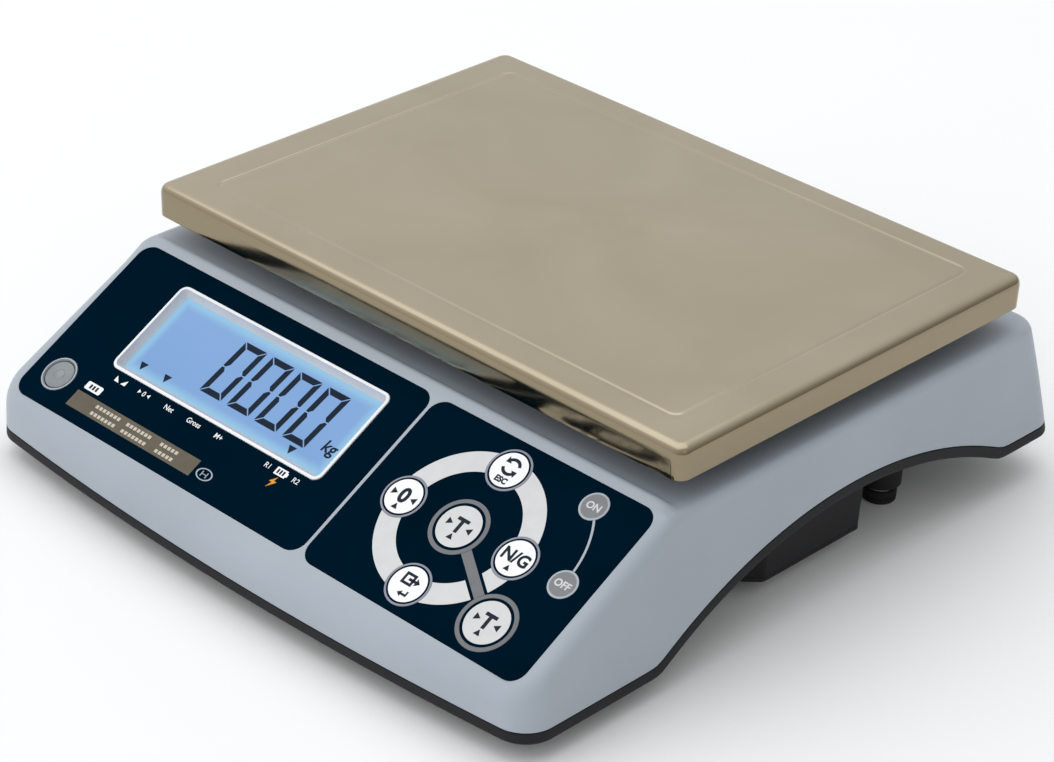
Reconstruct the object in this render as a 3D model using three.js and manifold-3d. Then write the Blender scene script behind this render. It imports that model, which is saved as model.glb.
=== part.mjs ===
// A compact bench scale: a stainless pan on a single-point load cell, in a two-part moulded housing
// with a sloped operator panel. Millimetres, +Z up, -Y is the operator's side, +X is their right.
// The origin is on the surface it stands on, under the middle of the whole object.
import * as THREE from "three";
import { mergeVertices } from "three/addons/utils/BufferGeometryUtils.js";
import Module from "manifold-3d";

const wasm = await Module();
wasm.setup();

// ---- driving dimensions -------------------------------------------------------------------------

const panWidth = 306;
const panFront = -75;
const panRear = 140;
const panTop = 102;
const panSkirt = 14.7;
const panSheet = 1.2;
const panCorner = 5;
const panEdgeRadius = 4;
const panCentreY = 34;

const deckTop = 76.5;
const wall = 2.8;
const halfWidthAtRim = 160;
const sideDraft = 0.059;
const frontCornerY = -160.5;
const frontBow = 8.5;
const rearAtRim = 169;
const rearDraft = 0.25;
const rearCurve = 0.0008;
const plan = { corner: 13, cornerSteps: 4, frontSteps: 8 };

const frontRimBottom = 9;
const rearRimBottom = 19;
const arch = { y: 29, peak: 43.5, radius: 212, steps: 22 };
const rimHeight = 5.1;
const floorThickness = 2.6;
const gap = 0.3;

const panelAngle = THREE.MathUtils.degToRad(29.5);
const panelTop = { y: -81.9, z: 76.25 };
const riserY = -75.1;

const displayFilm = { x0: -149.9, x1: 28.7, y0: -87.2, y1: 0, corner: 7 };
const keypadFilm = { x0: 30.6, x1: 149.9, y0: -87.2, y1: 0, corner: 7 };
const filmPocket = 1.0;
const filmBottom = -0.7;
const filmTop = 0.1;

const display = { x0: -116.4, x1: 12.4, y0: -56.8, y1: -9, corner: 4, rim: 3.2, depth: 2.7 };
const displayStack = { glassBottom: -4.8, lightTop: -5.1, lightBottom: -8.4, boardTop: -8.7 };
const level = { x: -134.8, y: -71.6, ring: 8.4, inner: 7.2, vial: 6.9 };

const keys = [
  { name: "zero", x: 50.6, y: -44.0, radius: 9.9 },
  { name: "escape", x: 81.6, y: -13.4, radius: 9.9 },
  { name: "net_gross", x: 111.8, y: -43.8, radius: 9.9 },
  { name: "print", x: 80.8, y: -74.3, radius: 9.9 },
  { name: "tare_centre", x: 81.2, y: -43.8, radius: 12.9 },
  { name: "tare_lower", x: 121.2, y: -71.7, radius: 12.9 },
  { name: "on", x: 124.2, y: -10.0, radius: 6.4 },
  { name: "off", x: 136.6, y: -43.6, radius: 6.4 },
];
const keyTop = 0.25;
const keyBottom = -0.4;
const keyStem = { radius: 2.2, bottom: -5.9, hole: 3.2 };
const switchTop = -6.4;
const boardThickness = 1.6;

const cell = { length: 130, width: 30, height: 22, bottom: 48, bore: 7.5, boreOffset: 17, slot: 2.5 };
const cellBoltOffsets = [57.5, 42.5];
const cellSeatTop = 44.4;
const baseBoltSeat = 39.6;
const panBoltSeat = 88.6;
const bolt = { shank: 3, head: 5, headHeight: 4, hole: 3.4, counterbore: 5.6 };
const support = { bottom: 80.8, armBottom: 84, top: 93, tipTop: 94.5, arm: 18, tipX: 110, tipY: 74 };
const stop = { x: 90, y: 60.5, headBottom: 76.9, top: 81.4, tip: 58, deckHole: 7.5 };
const stopPost = { radius: 6.5, top: 73 };

const feet = [
  { name: "front_left", x: -128, y: -135, bossTop: 24 },
  { name: "front_right", x: 128, y: -135, bossTop: 24 },
  { name: "rear_left", x: -124.3, y: 92, bossTop: 38 },
  { name: "rear_right", x: 124.3, y: 92, bossTop: 38 },
];
const foot = { pad: 7.3, padHeight: 6.2, padEdge: 0.8 };
const footScrew = { flange: 6.4, flangeTop: 7.6, radius: 3, top: 22.5 };
const footBoss = { radius: 8.7, bottom: 8 };

const tub = { x0: 30, x1: 144, y0: -24, y1: 58, bottom: 7, wall: 2.5, chamfer: 17.7 };
const cover = { lip: 1, plateBottom: 8.3, plateTop: 10.2, tongue: 1.2, grooveTop: 10.6 };
const battery = { x0: 34, x1: 131, y0: -15, y1: 52, bottom: 10.8, top: 44.8 };
const inlet = { x: -100, z: 45, body: 6.6, hole: 7, back: 146, face: 161, pin: 1 };
const inletSocket = { radius: 5, depth: 6, bore: 3.2 };

const housingScrews = [
  { name: "front_left", x: -150.3, y: -135, floor: frontRimBottom },
  { name: "front_right", x: 150.3, y: -135, floor: frontRimBottom },
  { name: "rear_left", x: -140, y: 144, floor: rearRimBottom },
  { name: "rear_right", x: 140, y: 144, floor: rearRimBottom },
];
const screw = { shank: 1.6, head: 3.4, headHeight: 2.4, length: 14, seat: 3.4 };
const screwBoss = { hole: 2, counterbore: 4, upper: 4, lower: 5.2, split: 6 };

// ---- materials ----------------------------------------------------------------------------------

const finish = (color, roughness, metalness = 0) =>
  new THREE.MeshStandardMaterial({ color, roughness, metalness });
const stainless = finish(0xa59d88, 0.35, 1);
const bluegreyPlastic = finish(0xaab4bf, 0.5);
const charcoalPlastic = finish(0x39393b, 0.6);
const navyFilm = finish(0x001c2e, 0.45);
const bezelPlastic = finish(0xe6e8ee, 0.35);
const displayGlass = finish(0x83aee2, 0.15);
const diffuser = finish(0xf2f6fa, 0.5);
const whiteKey = finish(0xf2f2f4, 0.45);
const greyKey = finish(0xdcdcdc, 0.45);
const darkKey = finish(0x8c9090, 0.45);
const levelGlass = finish(0x989c9f, 0.2);
const aluminium = finish(0xb9bcc0, 0.4, 1);
const zincSteel = finish(0xa8abb0, 0.35, 1);
const blackRubber = finish(0x1b1b1c, 0.85);
const circuitBoard = finish(0x1f5a38, 0.5);
const blackPlastic = finish(0x161617, 0.55);
const batteryCase = finish(0x4a4d52, 0.55);

// ---- solids -------------------------------------------------------------------------------------

// A closed geometry as a manifold-3d solid, and back.
function solid(geometry) {
  const bare = new THREE.BufferGeometry().setAttribute("position", geometry.getAttribute("position"));
  bare.setIndex(geometry.index);
  const merged = mergeVertices(bare, 1e-4);
  return new wasm.Manifold(
    new wasm.Mesh({
      numProp: 3,
      vertProperties: merged.attributes.position.array,
      triVerts: new Uint32Array(merged.index.array),
    }),
  );
}

function geometryOf(made) {
  const mesh = made.getMesh();
  const geometry = new THREE.BufferGeometry();
  geometry.setAttribute("position", new THREE.BufferAttribute(new Float32Array(mesh.vertProperties), 3));
  geometry.setIndex(new THREE.BufferAttribute(new Uint32Array(mesh.triVerts), 1));
  return geometry;
}

const join = (...shapes) => geometryOf(shapes.map(solid).reduce((whole, next) => whole.add(next)));
const cut = (shape, ...tools) =>
  geometryOf(tools.reduce((left, tool) => left.subtract(solid(tool)), solid(shape)));
const common = (a, b) => geometryOf(solid(a).intersect(solid(b)));

// A box from its lowest corner to its highest.
function block(low, high) {
  const size = high.map((value, i) => value - low[i]);
  const middle = high.map((value, i) => (value + low[i]) / 2);
  return new THREE.BoxGeometry(...size).translate(...middle);
}

// An upright cylinder.
function rod(x, y, radius, z0, z1, sides = 24) {
  const geometry = new THREE.CylinderGeometry(radius, radius, z1 - z0, sides);
  return geometry.rotateX(Math.PI / 2).translate(x, y, (z0 + z1) / 2);
}

// A turned shape about an upright axis, from [radius, height] points listed from the bottom up.
function turned(x, y, points, sides = 24) {
  const profile = points.map(([radius, height]) => new THREE.Vector2(radius, height));
  return new THREE.LatheGeometry(profile, sides).rotateX(Math.PI / 2).translate(x, y, 0);
}

// A plan outline given by corner points, extruded upwards.
function prism(points, z0, z1) {
  const shape = new THREE.Shape(points.map(([x, y]) => new THREE.Vector2(x, y)));
  return new THREE.ExtrudeGeometry(shape, { depth: z1 - z0, bevelEnabled: false }).translate(0, 0, z0);
}

// A side outline of [y, z] points, extruded along X.
function sideways(points, x0, x1) {
  const turn = new THREE.Matrix4().makeBasis(
    new THREE.Vector3(0, 1, 0),
    new THREE.Vector3(0, 0, 1),
    new THREE.Vector3(1, 0, 0),
  );
  return prism(points, x0, x1).applyMatrix4(turn);
}

// A rounded rectangle as plan points, anticlockwise.
function roundedRectangle(x0, x1, y0, y1, radius, steps = 5) {
  const corners = [
    [x1 - radius, y0 + radius, -Math.PI / 2],
    [x1 - radius, y1 - radius, 0],
    [x0 + radius, y1 - radius, Math.PI / 2],
    [x0 + radius, y0 + radius, Math.PI],
  ];
  return corners.flatMap(([x, y, start]) =>
    Array.from({ length: steps + 1 }, (_, i) => {
      const angle = start + ((Math.PI / 2) * i) / steps;
      return [x + radius * Math.cos(angle), y + radius * Math.sin(angle)];
    }),
  );
}

function inset({ x0, x1, y0, y1, corner }, by) {
  return [x0 + by, x1 - by, y0 + by, y1 - by, Math.max(corner - by, 0.5)];
}

// A skin through rings of points, closed at both ends; each ring runs anticlockwise seen from above.
function loft(rings) {
  const count = rings[0].length;
  const middle = (ring) => ring[0].map((_, k) => ring.reduce((sum, p) => sum + p[k], 0) / count);
  const points = [...rings.flat(), middle(rings[0]), middle(rings.at(-1))];
  const bottom = rings.length * count;
  const faces = [];
  for (let j = 0; j < count; j++) {
    const next = (j + 1) % count;
    for (let i = 0; i + 1 < rings.length; i++) {
      const a = i * count + j;
      const b = i * count + next;
      faces.push(a, b, b + count, a, b + count, a + count);
    }
    faces.push(bottom, next, j);
    faces.push(bottom + 1, (rings.length - 1) * count + j, (rings.length - 1) * count + next);
  }
  const geometry = new THREE.BufferGeometry();
  geometry.setAttribute("position", new THREE.Float32BufferAttribute(points.flat(), 3));
  return geometry.setIndex(faces);
}

// ---- the body's outer form ----------------------------------------------------------------------

// The plan outline at a height: drafted sides, a bowed front and a rear that leans in as it rises.
function outline(z, inside) {
  const half = halfWidthAtRim - sideDraft * (z - frontRimBottom) - inside;
  const above = z - rearRimBottom;
  const rear = rearAtRim - rearDraft * above - rearCurve * above * above - inside;
  const radius = plan.corner - inside;
  const corners = roundedRectangle(-half, half, frontCornerY + inside, rear, radius, plan.cornerSteps);
  const reach = half - radius;
  const front = Array.from({ length: plan.frontSteps - 1 }, (_, i) => [
    reach * ((2 * (i + 1)) / plan.frontSteps - 1),
    frontCornerY + inside,
  ]);
  return [...front, ...corners].map(([x, y]) => {
    const bow = y < frontCornerY + plan.corner ? frontBow * (1 - (x / half) ** 2) : 0;
    return [x, y - bow, z];
  });
}

const bodyForm = (inside) => loft([-5, 20, 35, 50, 64, 78, 92].map((z) => outline(z, inside)));

// The lower edge line at a distance from the rim's underside: flat, arched, flat.
function lowerLine(offset) {
  const radius = arch.radius + offset;
  const centre = arch.peak - arch.radius;
  const front = -Math.acos((frontRimBottom + offset - centre) / radius);
  const rear = Math.acos((rearRimBottom + offset - centre) / radius);
  const curve = Array.from({ length: arch.steps + 1 }, (_, i) => {
    const angle = front + ((rear - front) * i) / arch.steps;
    return [arch.y + radius * Math.sin(angle), centre + radius * Math.cos(angle)];
  });
  return [[-250, frontRimBottom + offset], ...curve, [250, rearRimBottom + offset]];
}

function belowLine(offset) {
  return sideways([[-250, -60], [250, -60], ...lowerLine(offset).reverse()], -250, 250);
}

function aboveLine(offset) {
  return sideways([...lowerLine(offset), [250, 200], [-250, 200]], -250, 250);
}

// Everything above the deck and the sloped panel, both lowered by a depth.
function aboveTop(depth) {
  const slope = Math.tan(panelAngle);
  const down = depth / Math.cos(panelAngle);
  const panelZ = (y) => panelTop.z + (y - panelTop.y) * slope - down;
  const outlinePoints = [
    [-250, panelZ(-250)],
    [riserY + depth, panelZ(riserY + depth)],
    [riserY + depth, deckTop - depth],
    [250, deckTop - depth],
    [250, 200],
    [-250, 200],
  ];
  return sideways(outlinePoints, -250, 250);
}

// ---- assembly -----------------------------------------------------------------------------------

const scale = new THREE.Group();
const panel = new THREE.Group();
panel.position.set(0, panelTop.y, panelTop.z);
panel.rotation.x = panelAngle;
panel.updateMatrix();
scale.add(panel);

function add(parent, name, geometry, material) {
  const mesh = new THREE.Mesh(geometry, material);
  mesh.name = name;
  parent.add(mesh);
}

// A shape drawn on the panel (x to the right, y up the slope, z out of it), in the scale's frame.
const fromPanel = (geometry) => geometry.applyMatrix4(panel.matrix);

function topHousing() {
  const cavity = cut(bodyForm(wall), aboveTop(wall));
  const shell = cut(bodyForm(0), belowLine(rimHeight + gap), aboveTop(0), cavity);
  const bosses = housingScrews.map(({ x, y, floor }) =>
    rod(x, y, screwBoss.upper, floor + screwBoss.split + gap, 96, 16),
  );
  const shortened = cut(join(...bosses), aboveTop(wall / 2));
  const bores = housingScrews.map(({ x, y, floor }) => rod(x, y, screwBoss.hole, floor, floor + 20, 12));
  const pockets = [displayFilm, keypadFilm].map((film) =>
    fromPanel(prism(roundedRectangle(...inset(film, -0.25)), -filmPocket, 5)),
  );
  const window = fromPanel(prism(roundedRectangle(...inset(display, 0.4)), -10, 5));
  const levelHole = fromPanel(rod(level.x, level.y, level.inner + 0.1, -12, 5));
  const stemHoles = keys.map(({ x, y }) => fromPanel(rod(x, y, keyStem.hole, -12, 5, 12)));
  const pillarHole = block([-21, panCentreY - 71, 60], [21, panCentreY - 28, 90]);
  const stopHoles = supportCorners(stop.x, stop.y).map(([x, y]) => rod(x, y, stop.deckHole, 60, 90, 16));
  const inletHole = rod(0, 0, inlet.hole, -20, 20, 20).rotateX(Math.PI / 2);
  inletHole.translate(inlet.x, rearAtRim - 8, inlet.z);
  return cut(
    join(shell, shortened),
    ...bores,
    ...pockets,
    window,
    levelHole,
    ...stemHoles,
    pillarHole,
    ...stopHoles,
    inletHole,
  );
}

// The four places of a piece that sits once in each quarter of the pan.
function supportCorners(x, y) {
  return [
    [-x, panCentreY - y],
    [x, panCentreY - y],
    [-x, panCentreY + y],
    [x, panCentreY + y],
  ];
}

const tubOutline = (by) => {
  const c = tub.chamfer + by * (Math.SQRT2 - 2);
  return [
    [tub.x0 + by, tub.y0 + by],
    [tub.x1 - by - c, tub.y0 + by],
    [tub.x1 - by, tub.y0 + by + c],
    [tub.x1 - by, tub.y1 - by],
    [tub.x0 + by, tub.y1 - by],
  ];
};

function baseHousing() {
  const floorSpace = common(bodyForm(wall), aboveLine(floorThickness));
  const tray = cut(bodyForm(0), belowLine(0), aboveLine(rimHeight), floorSpace);
  const tubBlock = common(prism(tubOutline(0), tub.bottom, 60), belowLine(floorThickness / 2));
  const tubSpace = prism(tubOutline(tub.wall), 0, 60);
  const grooveDepth = cover.tongue + gap;
  const groove = prism(tubOutline(tub.wall - grooveDepth), tub.bottom + cover.lip, cover.grooveTop);
  const coverExit = block([tub.x0 - 5, tub.y0 + 1, 0], [tub.x0 + 10, tub.y1 - 1, cover.grooveTop]);
  const hollowTub = cut(join(tray, tubBlock), tubSpace, groove, coverExit);

  const posts = supportCorners(stop.x, stop.y).map(([x, y]) =>
    rod(x, y, stopPost.radius, 0, stopPost.top, 16),
  );
  const cellSeat = block([-17, panCentreY + 32, 0], [17, panCentreY + 68, cellSeatTop]);
  const standoffs = [-130, -50].flatMap((x) => [-8, 74].map((y) => rod(x, y, 3, 0, 49.7, 10)));
  const screwSeats = housingScrews.map(({ x, y, floor }) =>
    rod(x, y, screwBoss.lower, floor, floor + screwBoss.split, 16),
  );
  const raised = join(...posts, cellSeat, ...standoffs);
  const inside = cut(raised, belowLine(floorThickness / 2));
  const trimmedSeats = common(join(...screwSeats), bodyForm(wall / 2));
  const footBosses = feet.map(({ x, y, bossTop }) => rod(x, y, footBoss.radius, footBoss.bottom, bossTop));

  const postBores = supportCorners(stop.x, stop.y).map(([x, y]) => rod(x, y, bolt.hole, 57, 80, 12));
  const footBores = feet.map(({ x, y }) => rod(x, y, footScrew.radius + gap, 0, 60, 16));
  const screwBores = housingScrews.map(({ x, y }) => rod(x, y, screwBoss.hole, 0, 60, 12));
  const screwRecesses = housingScrews.map(({ x, y, floor }) =>
    rod(x, y, screwBoss.counterbore, 0, floor + screw.seat, 16),
  );
  const cellBores = cellBoltOffsets.flatMap((offset) => [
    rod(0, panCentreY + offset, bolt.hole, 0, 60, 16),
    rod(0, panCentreY + offset, bolt.counterbore, 0, baseBoltSeat, 16),
  ]);
  const whole = join(hollowTub, inside, trimmedSeats, ...footBosses);
  return cut(whole, ...postBores, ...footBores, ...screwBores, ...screwRecesses, ...cellBores);
}

function weighingPan() {
  const half = panWidth / 2;
  const ring = (by, z) =>
    roundedRectangle(
      -half + by,
      half - by,
      panFront + by,
      panRear - by,
      Math.max(panCorner - by, 0.6),
    ).map(([x, y]) => [x, y, z]);
  const steps = 4;
  const edge = (by, top, radius) =>
    Array.from({ length: steps + 1 }, (_, i) => {
      const angle = ((Math.PI / 2) * i) / steps;
      return ring(by + radius * (1 - Math.cos(angle)), top - radius * (1 - Math.sin(angle)));
    });
  const bottom = panTop - panSkirt;
  const outer = loft([ring(0, bottom), ...edge(0, panTop, panEdgeRadius)]);
  const innerEdge = edge(panSheet, panTop - panSheet, panEdgeRadius - panSheet);
  const inner = loft([ring(panSheet, bottom - 5), ...innerEdge]);
  return cut(outer, inner);
}

function panSupport() {
  const { tipX, tipY, arm, armBottom, top } = support;
  const angle = Math.atan2(tipY, tipX);
  const reach = Math.hypot(tipX, tipY);
  const arms = [angle, -angle].map((turn) =>
    block([-reach, -arm / 2, armBottom], [reach, arm / 2, top]).rotateZ(turn).translate(0, panCentreY, 0),
  );
  const hub = block([-26, panCentreY - 70, support.bottom], [26, panCentreY + 30, top]);
  const tips = supportCorners(tipX, tipY).map(([x, y]) => rod(x, y, 11, armBottom - 2, support.tipTop));
  const stopFeet = supportCorners(stop.x, stop.y).map(([x, y]) => rod(x, y, 7, armBottom - 2, top, 16));
  const channels = [angle, -angle].flatMap((turn) =>
    [-1, 1].map((side) =>
      block([Math.min(side * 48, side * 116), -5.5, 87], [Math.max(side * 48, side * 116), 5.5, 100])
        .rotateZ(turn)
        .translate(0, panCentreY, 0),
    ),
  );
  const hubPocket = block([-20, panCentreY - 34, 85], [20, panCentreY + 24, 100]);
  const padHoles = supportCorners(tipX, tipY).map(([x, y]) => rod(x, y, 3.9, 87, 100, 12));
  const bores = cellBoltOffsets.flatMap((offset) => [
    rod(0, panCentreY - offset, bolt.hole, 70, 100, 16),
    rod(0, panCentreY - offset, bolt.counterbore, panBoltSeat, 100, 16),
  ]);
  const cross = cut(join(...arms, hub), ...channels, hubPocket);
  return cut(join(cross, ...tips, ...stopFeet), ...padHoles, ...bores);
}

function loadCell() {
  const { length, width, height, bottom, bore, boreOffset, slot } = cell;
  const body = block(
    [-width / 2, panCentreY - length / 2, bottom],
    [width / 2, panCentreY + length / 2, bottom + height],
  );
  const middle = bottom + height / 2;
  const bores = [-boreOffset, boreOffset].map((offset) =>
    rod(0, 0, bore, -width, width, 20).rotateY(Math.PI / 2).translate(0, panCentreY + offset, middle),
  );
  const joining = block(
    [-width, panCentreY - boreOffset, middle - slot],
    [width, panCentreY + boreOffset, middle + slot],
  );
  const holes = cellBoltOffsets.flatMap((offset) =>
    [-offset, offset].map((y) => rod(0, panCentreY + y, bolt.hole, 0, 100, 16)),
  );
  return cut(body, ...bores, joining, ...holes);
}

function spacer(y0, y1, z0, z1, side) {
  const plate = block([-cell.width / 2, y0, z0], [cell.width / 2, y1, z1]);
  const holes = cellBoltOffsets.map((offset) => rod(0, panCentreY + side * offset, bolt.hole, 0, 120, 16));
  return cut(plate, ...holes);
}

// A cap screw along an upright axis; the head is at the end that headAt gives.
function capScrew(x, y, headAt, headHeight, tip, sizes, sides = 16) {
  const up = headAt > tip ? 1 : -1;
  const outer = headAt + up * headHeight;
  const head = rod(x, y, sizes.head, Math.min(headAt, outer), Math.max(headAt, outer), sides);
  const shank = rod(x, y, sizes.shank, Math.min(headAt, tip), Math.max(headAt, tip), sides);
  return join(head, shank);
}

function key({ x, y, radius }) {
  const disc = rod(x, y, radius, keyBottom, keyTop, 32);
  return join(disc, rod(x, y, keyStem.radius, keyStem.bottom, keyBottom + 0.1, 12));
}

function tactSwitch({ x, y }) {
  const body = block([x - 3, y - 3, switchTop - 3.9], [x + 3, y + 3, switchTop - 0.9]);
  return join(body, rod(x, y, 1.75, switchTop - 1, switchTop, 12));
}

// A printed circuit board in the panel's frame with the parts soldered to it.
function board(x0, x1, y0, y1, top, parts) {
  const sheet = block([x0, y0, top - boardThickness], [x1, y1, top]);
  return join(sheet, ...parts.map(([low, high]) => block(low, high)));
}

function film(sheet, holes) {
  return cut(prism(roundedRectangle(...inset(sheet, 0)), filmBottom, filmTop), ...holes);
}

function displayBezel() {
  const flange = prism(roundedRectangle(...inset(display, 0)), -0.6, 0.5);
  const sleeve = prism(roundedRectangle(...inset(display, 0.8)), -display.depth, -0.5);
  return cut(join(flange, sleeve), prism(roundedRectangle(...inset(display, display.rim)), -10, 5));
}

function batteryCover() {
  const plate = prism(tubOutline(tub.wall - cover.tongue), cover.plateBottom, cover.plateTop);
  const panelBelow = prism(tubOutline(tub.wall + gap), tub.bottom + 0.2, cover.plateTop);
  const edge = tub.wall + gap;
  const reachLeft = block(
    [tub.x0, tub.y0 + edge, tub.bottom + 0.2],
    [tub.x0 + 6, tub.y1 - edge, cover.plateTop],
  );
  const grips = [0, 1, 2].map((i) => block([40 + 4 * i, 5, 0], [42 + 4 * i, 29, tub.bottom + 1.2]));
  return cut(join(plate, panelBelow, reachLeft), ...grips);
}

function adapterInlet() {
  const { back, face } = inlet;
  const along = (radius, y0, y1, sides = 20) =>
    rod(0, 0, radius, y0, y1, sides).rotateX(-Math.PI / 2).translate(inlet.x, 0, inlet.z);
  const socketFloor = face - inletSocket.depth;
  const recess = along(inletSocket.radius, socketFloor, face + 5);
  const bore = along(inletSocket.bore, back + 2, face);
  const pin = along(inlet.pin, back + 1, socketFloor - 0.6, 10);
  return join(cut(along(inlet.body, back, face), recess, bore), pin);
}

function mainBoard() {
  const sheet = block([-140, -14, 50], [-40, 80, 50 + boardThickness]);
  const parts = [
    [[-128, 20, 51], [-112, 36, 53.4]],
    [[-100, -4, 51], [-84, 16, 62]],
    [[-74, 30, 51], [-58, 40, 57]],
    [[-136, 62, 51], [-116, 70, 58]],
    [[-76, 60, 51], [-48, 68, 59]],
  ];
  const capacitors = [-104, -92].map((x) => rod(x, 52, 5, 51, 66, 14));
  return join(sheet, ...parts.map(([low, high]) => block(low, high)), ...capacitors);
}

add(scale, "top_housing", topHousing(), bluegreyPlastic);
add(scale, "base_housing", baseHousing(), charcoalPlastic);
add(scale, "weighing_pan", weighingPan(), stainless);
add(scale, "pan_support", panSupport(), aluminium);
add(scale, "load_cell", loadCell(), aluminium);

const cellTop = cell.bottom + cell.height;
const panSpacer = spacer(panCentreY - 65, panCentreY - 35, cellTop + gap, support.bottom - gap, -1);
const baseSpacer = spacer(panCentreY + 35, panCentreY + 65, cellSeatTop + gap, cell.bottom - gap, 1);
add(scale, "cell_spacer_pan", panSpacer, aluminium);
add(scale, "cell_spacer_base", baseSpacer, aluminium);

cellBoltOffsets.forEach((offset, i) => {
  const panBolt = capScrew(0, panCentreY - offset, panBoltSeat + gap, bolt.headHeight, 58, bolt);
  const baseBolt = capScrew(0, panCentreY + offset, baseBoltSeat - gap, bolt.headHeight, 62, bolt);
  add(scale, "cell_bolt_pan_" + (i + 1), panBolt, zincSteel);
  add(scale, "cell_bolt_base_" + (i + 1), baseBolt, zincSteel);
});

const quarters = ["front_left", "front_right", "rear_left", "rear_right"];
supportCorners(support.tipX, support.tipY).forEach(([x, y], i) => {
  const disc = rod(x, y, 9, support.tipTop + gap, panTop - panSheet - gap, 24);
  add(scale, "pan_pad_" + quarters[i], join(disc, rod(x, y, 3.5, 88, 96, 12)), blackRubber);
});
supportCorners(stop.x, stop.y).forEach(([x, y], i) => {
  const headHeight = stop.top - stop.headBottom;
  const stopScrew = capScrew(x, y, stop.headBottom, headHeight, stop.tip, bolt, 6);
  add(scale, "overload_stop_" + quarters[i], stopScrew, zincSteel);
});

const windowHole = prism(roundedRectangle(...inset(display, -0.3)), -5, 5);
const levelOpening = rod(level.x, level.y, level.ring + 0.3, -5, 5);
const keyOpenings = keys.map(({ x, y, radius }) => rod(x, y, radius + 0.3, -5, 5, 32));
add(panel, "display_overlay", film(displayFilm, [windowHole, levelOpening]), navyFilm);
add(panel, "keypad_overlay", film(keypadFilm, keyOpenings), navyFilm);

const stackOutline = roundedRectangle(...inset(display, 1));
add(panel, "lcd_bezel", displayBezel(), bezelPlastic);
const { glassBottom, lightTop, lightBottom, boardTop } = displayStack;
add(panel, "lcd_glass", prism(stackOutline, glassBottom, -display.depth - gap), displayGlass);
add(panel, "lcd_backlight", prism(stackOutline, lightBottom, lightTop), diffuser);
const displayParts = [
  [[-100, -40, -13], [-84, -24, -10.2]],
  [[-60, -56, -15], [-36, -50, -10.2]],
];
add(panel, "display_board", board(-122, 26, -64, -5, boardTop, displayParts), circuitBoard);
const keypadParts = [[[60, -34, -17], [72, -26, -12]]];
add(panel, "keypad_board", board(36, 145, -83, -3, switchTop - 4.2, keypadParts), circuitBoard);
add(scale, "main_board", mainBoard(), circuitBoard);

const levelBore = rod(level.x, level.y, level.inner, -5, 5);
const levelRing = cut(rod(level.x, level.y, level.ring, -0.6, 0.3), levelBore);
add(panel, "level_ring", levelRing, bezelPlastic);
add(panel, "level_vial", rod(level.x, level.y, level.vial, -8, 0), levelGlass);

const keyColours = { tare_centre: greyKey, tare_lower: greyKey, on: darkKey, off: darkKey };
for (const spot of keys) {
  add(panel, "key_" + spot.name, key(spot), keyColours[spot.name] ?? whiteKey);
  add(panel, "switch_" + spot.name, tactSwitch(spot), blackPlastic);
}

const batteryBlock = block([battery.x0, battery.y0, battery.bottom], [battery.x1, battery.y1, battery.top]);
add(scale, "battery", batteryBlock, batteryCase);
add(scale, "battery_cover", batteryCover(), charcoalPlastic);
add(scale, "dc_inlet", adapterInlet(), blackPlastic);

for (const { name, x, y } of feet) {
  const padProfile = [
    [0, 0],
    [foot.pad - foot.padEdge, 0],
    [foot.pad, foot.padEdge],
    [foot.pad, foot.padHeight],
    [0, foot.padHeight],
  ];
  const screwProfile = [
    [0, foot.padHeight + gap],
    [footScrew.flange, foot.padHeight + gap],
    [footScrew.flange, footScrew.flangeTop],
    [footScrew.radius, footScrew.flangeTop],
    [footScrew.radius, footScrew.top],
    [0, footScrew.top],
  ];
  add(scale, "foot_pad_" + name, turned(x, y, padProfile), blackRubber);
  add(scale, "foot_screw_" + name, turned(x, y, screwProfile, 16), zincSteel);
}
for (const { name, x, y, floor } of housingScrews) {
  const seat = floor + screw.seat;
  const fastener = capScrew(x, y, seat - gap, screw.headHeight, seat + screw.length, screw);
  add(scale, "housing_screw_" + name, fastener, zincSteel);
}

export default scale;
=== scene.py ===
"""A compact bench weighing scale: every surface that shows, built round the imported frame.

Shapes are worked out in millimetres, as (points, faces), and piece() turns them into objects in metres.
"""

import math

import bmesh
import bpy
import numpy as np
from mathutils import Matrix, Vector


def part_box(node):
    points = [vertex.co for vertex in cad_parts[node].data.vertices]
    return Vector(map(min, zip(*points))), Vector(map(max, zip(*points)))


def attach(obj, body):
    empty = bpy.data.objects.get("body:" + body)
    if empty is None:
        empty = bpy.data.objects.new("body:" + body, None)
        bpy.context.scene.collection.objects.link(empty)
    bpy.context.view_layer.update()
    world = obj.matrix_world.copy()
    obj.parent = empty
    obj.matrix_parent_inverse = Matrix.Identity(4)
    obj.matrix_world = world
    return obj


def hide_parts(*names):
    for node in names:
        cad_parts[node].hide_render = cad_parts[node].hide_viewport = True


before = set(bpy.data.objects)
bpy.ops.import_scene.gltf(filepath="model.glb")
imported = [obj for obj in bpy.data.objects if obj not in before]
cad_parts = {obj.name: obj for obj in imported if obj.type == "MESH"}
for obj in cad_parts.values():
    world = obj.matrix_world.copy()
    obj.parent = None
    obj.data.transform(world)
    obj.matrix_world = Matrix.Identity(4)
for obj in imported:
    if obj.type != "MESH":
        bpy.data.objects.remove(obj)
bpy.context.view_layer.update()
scene = bpy.context.scene


# ---- Camera --------------------------------------------------------------------------------------
# A long lens from the operator's right and above, near the line through the middle of the pan's flat top.

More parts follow.
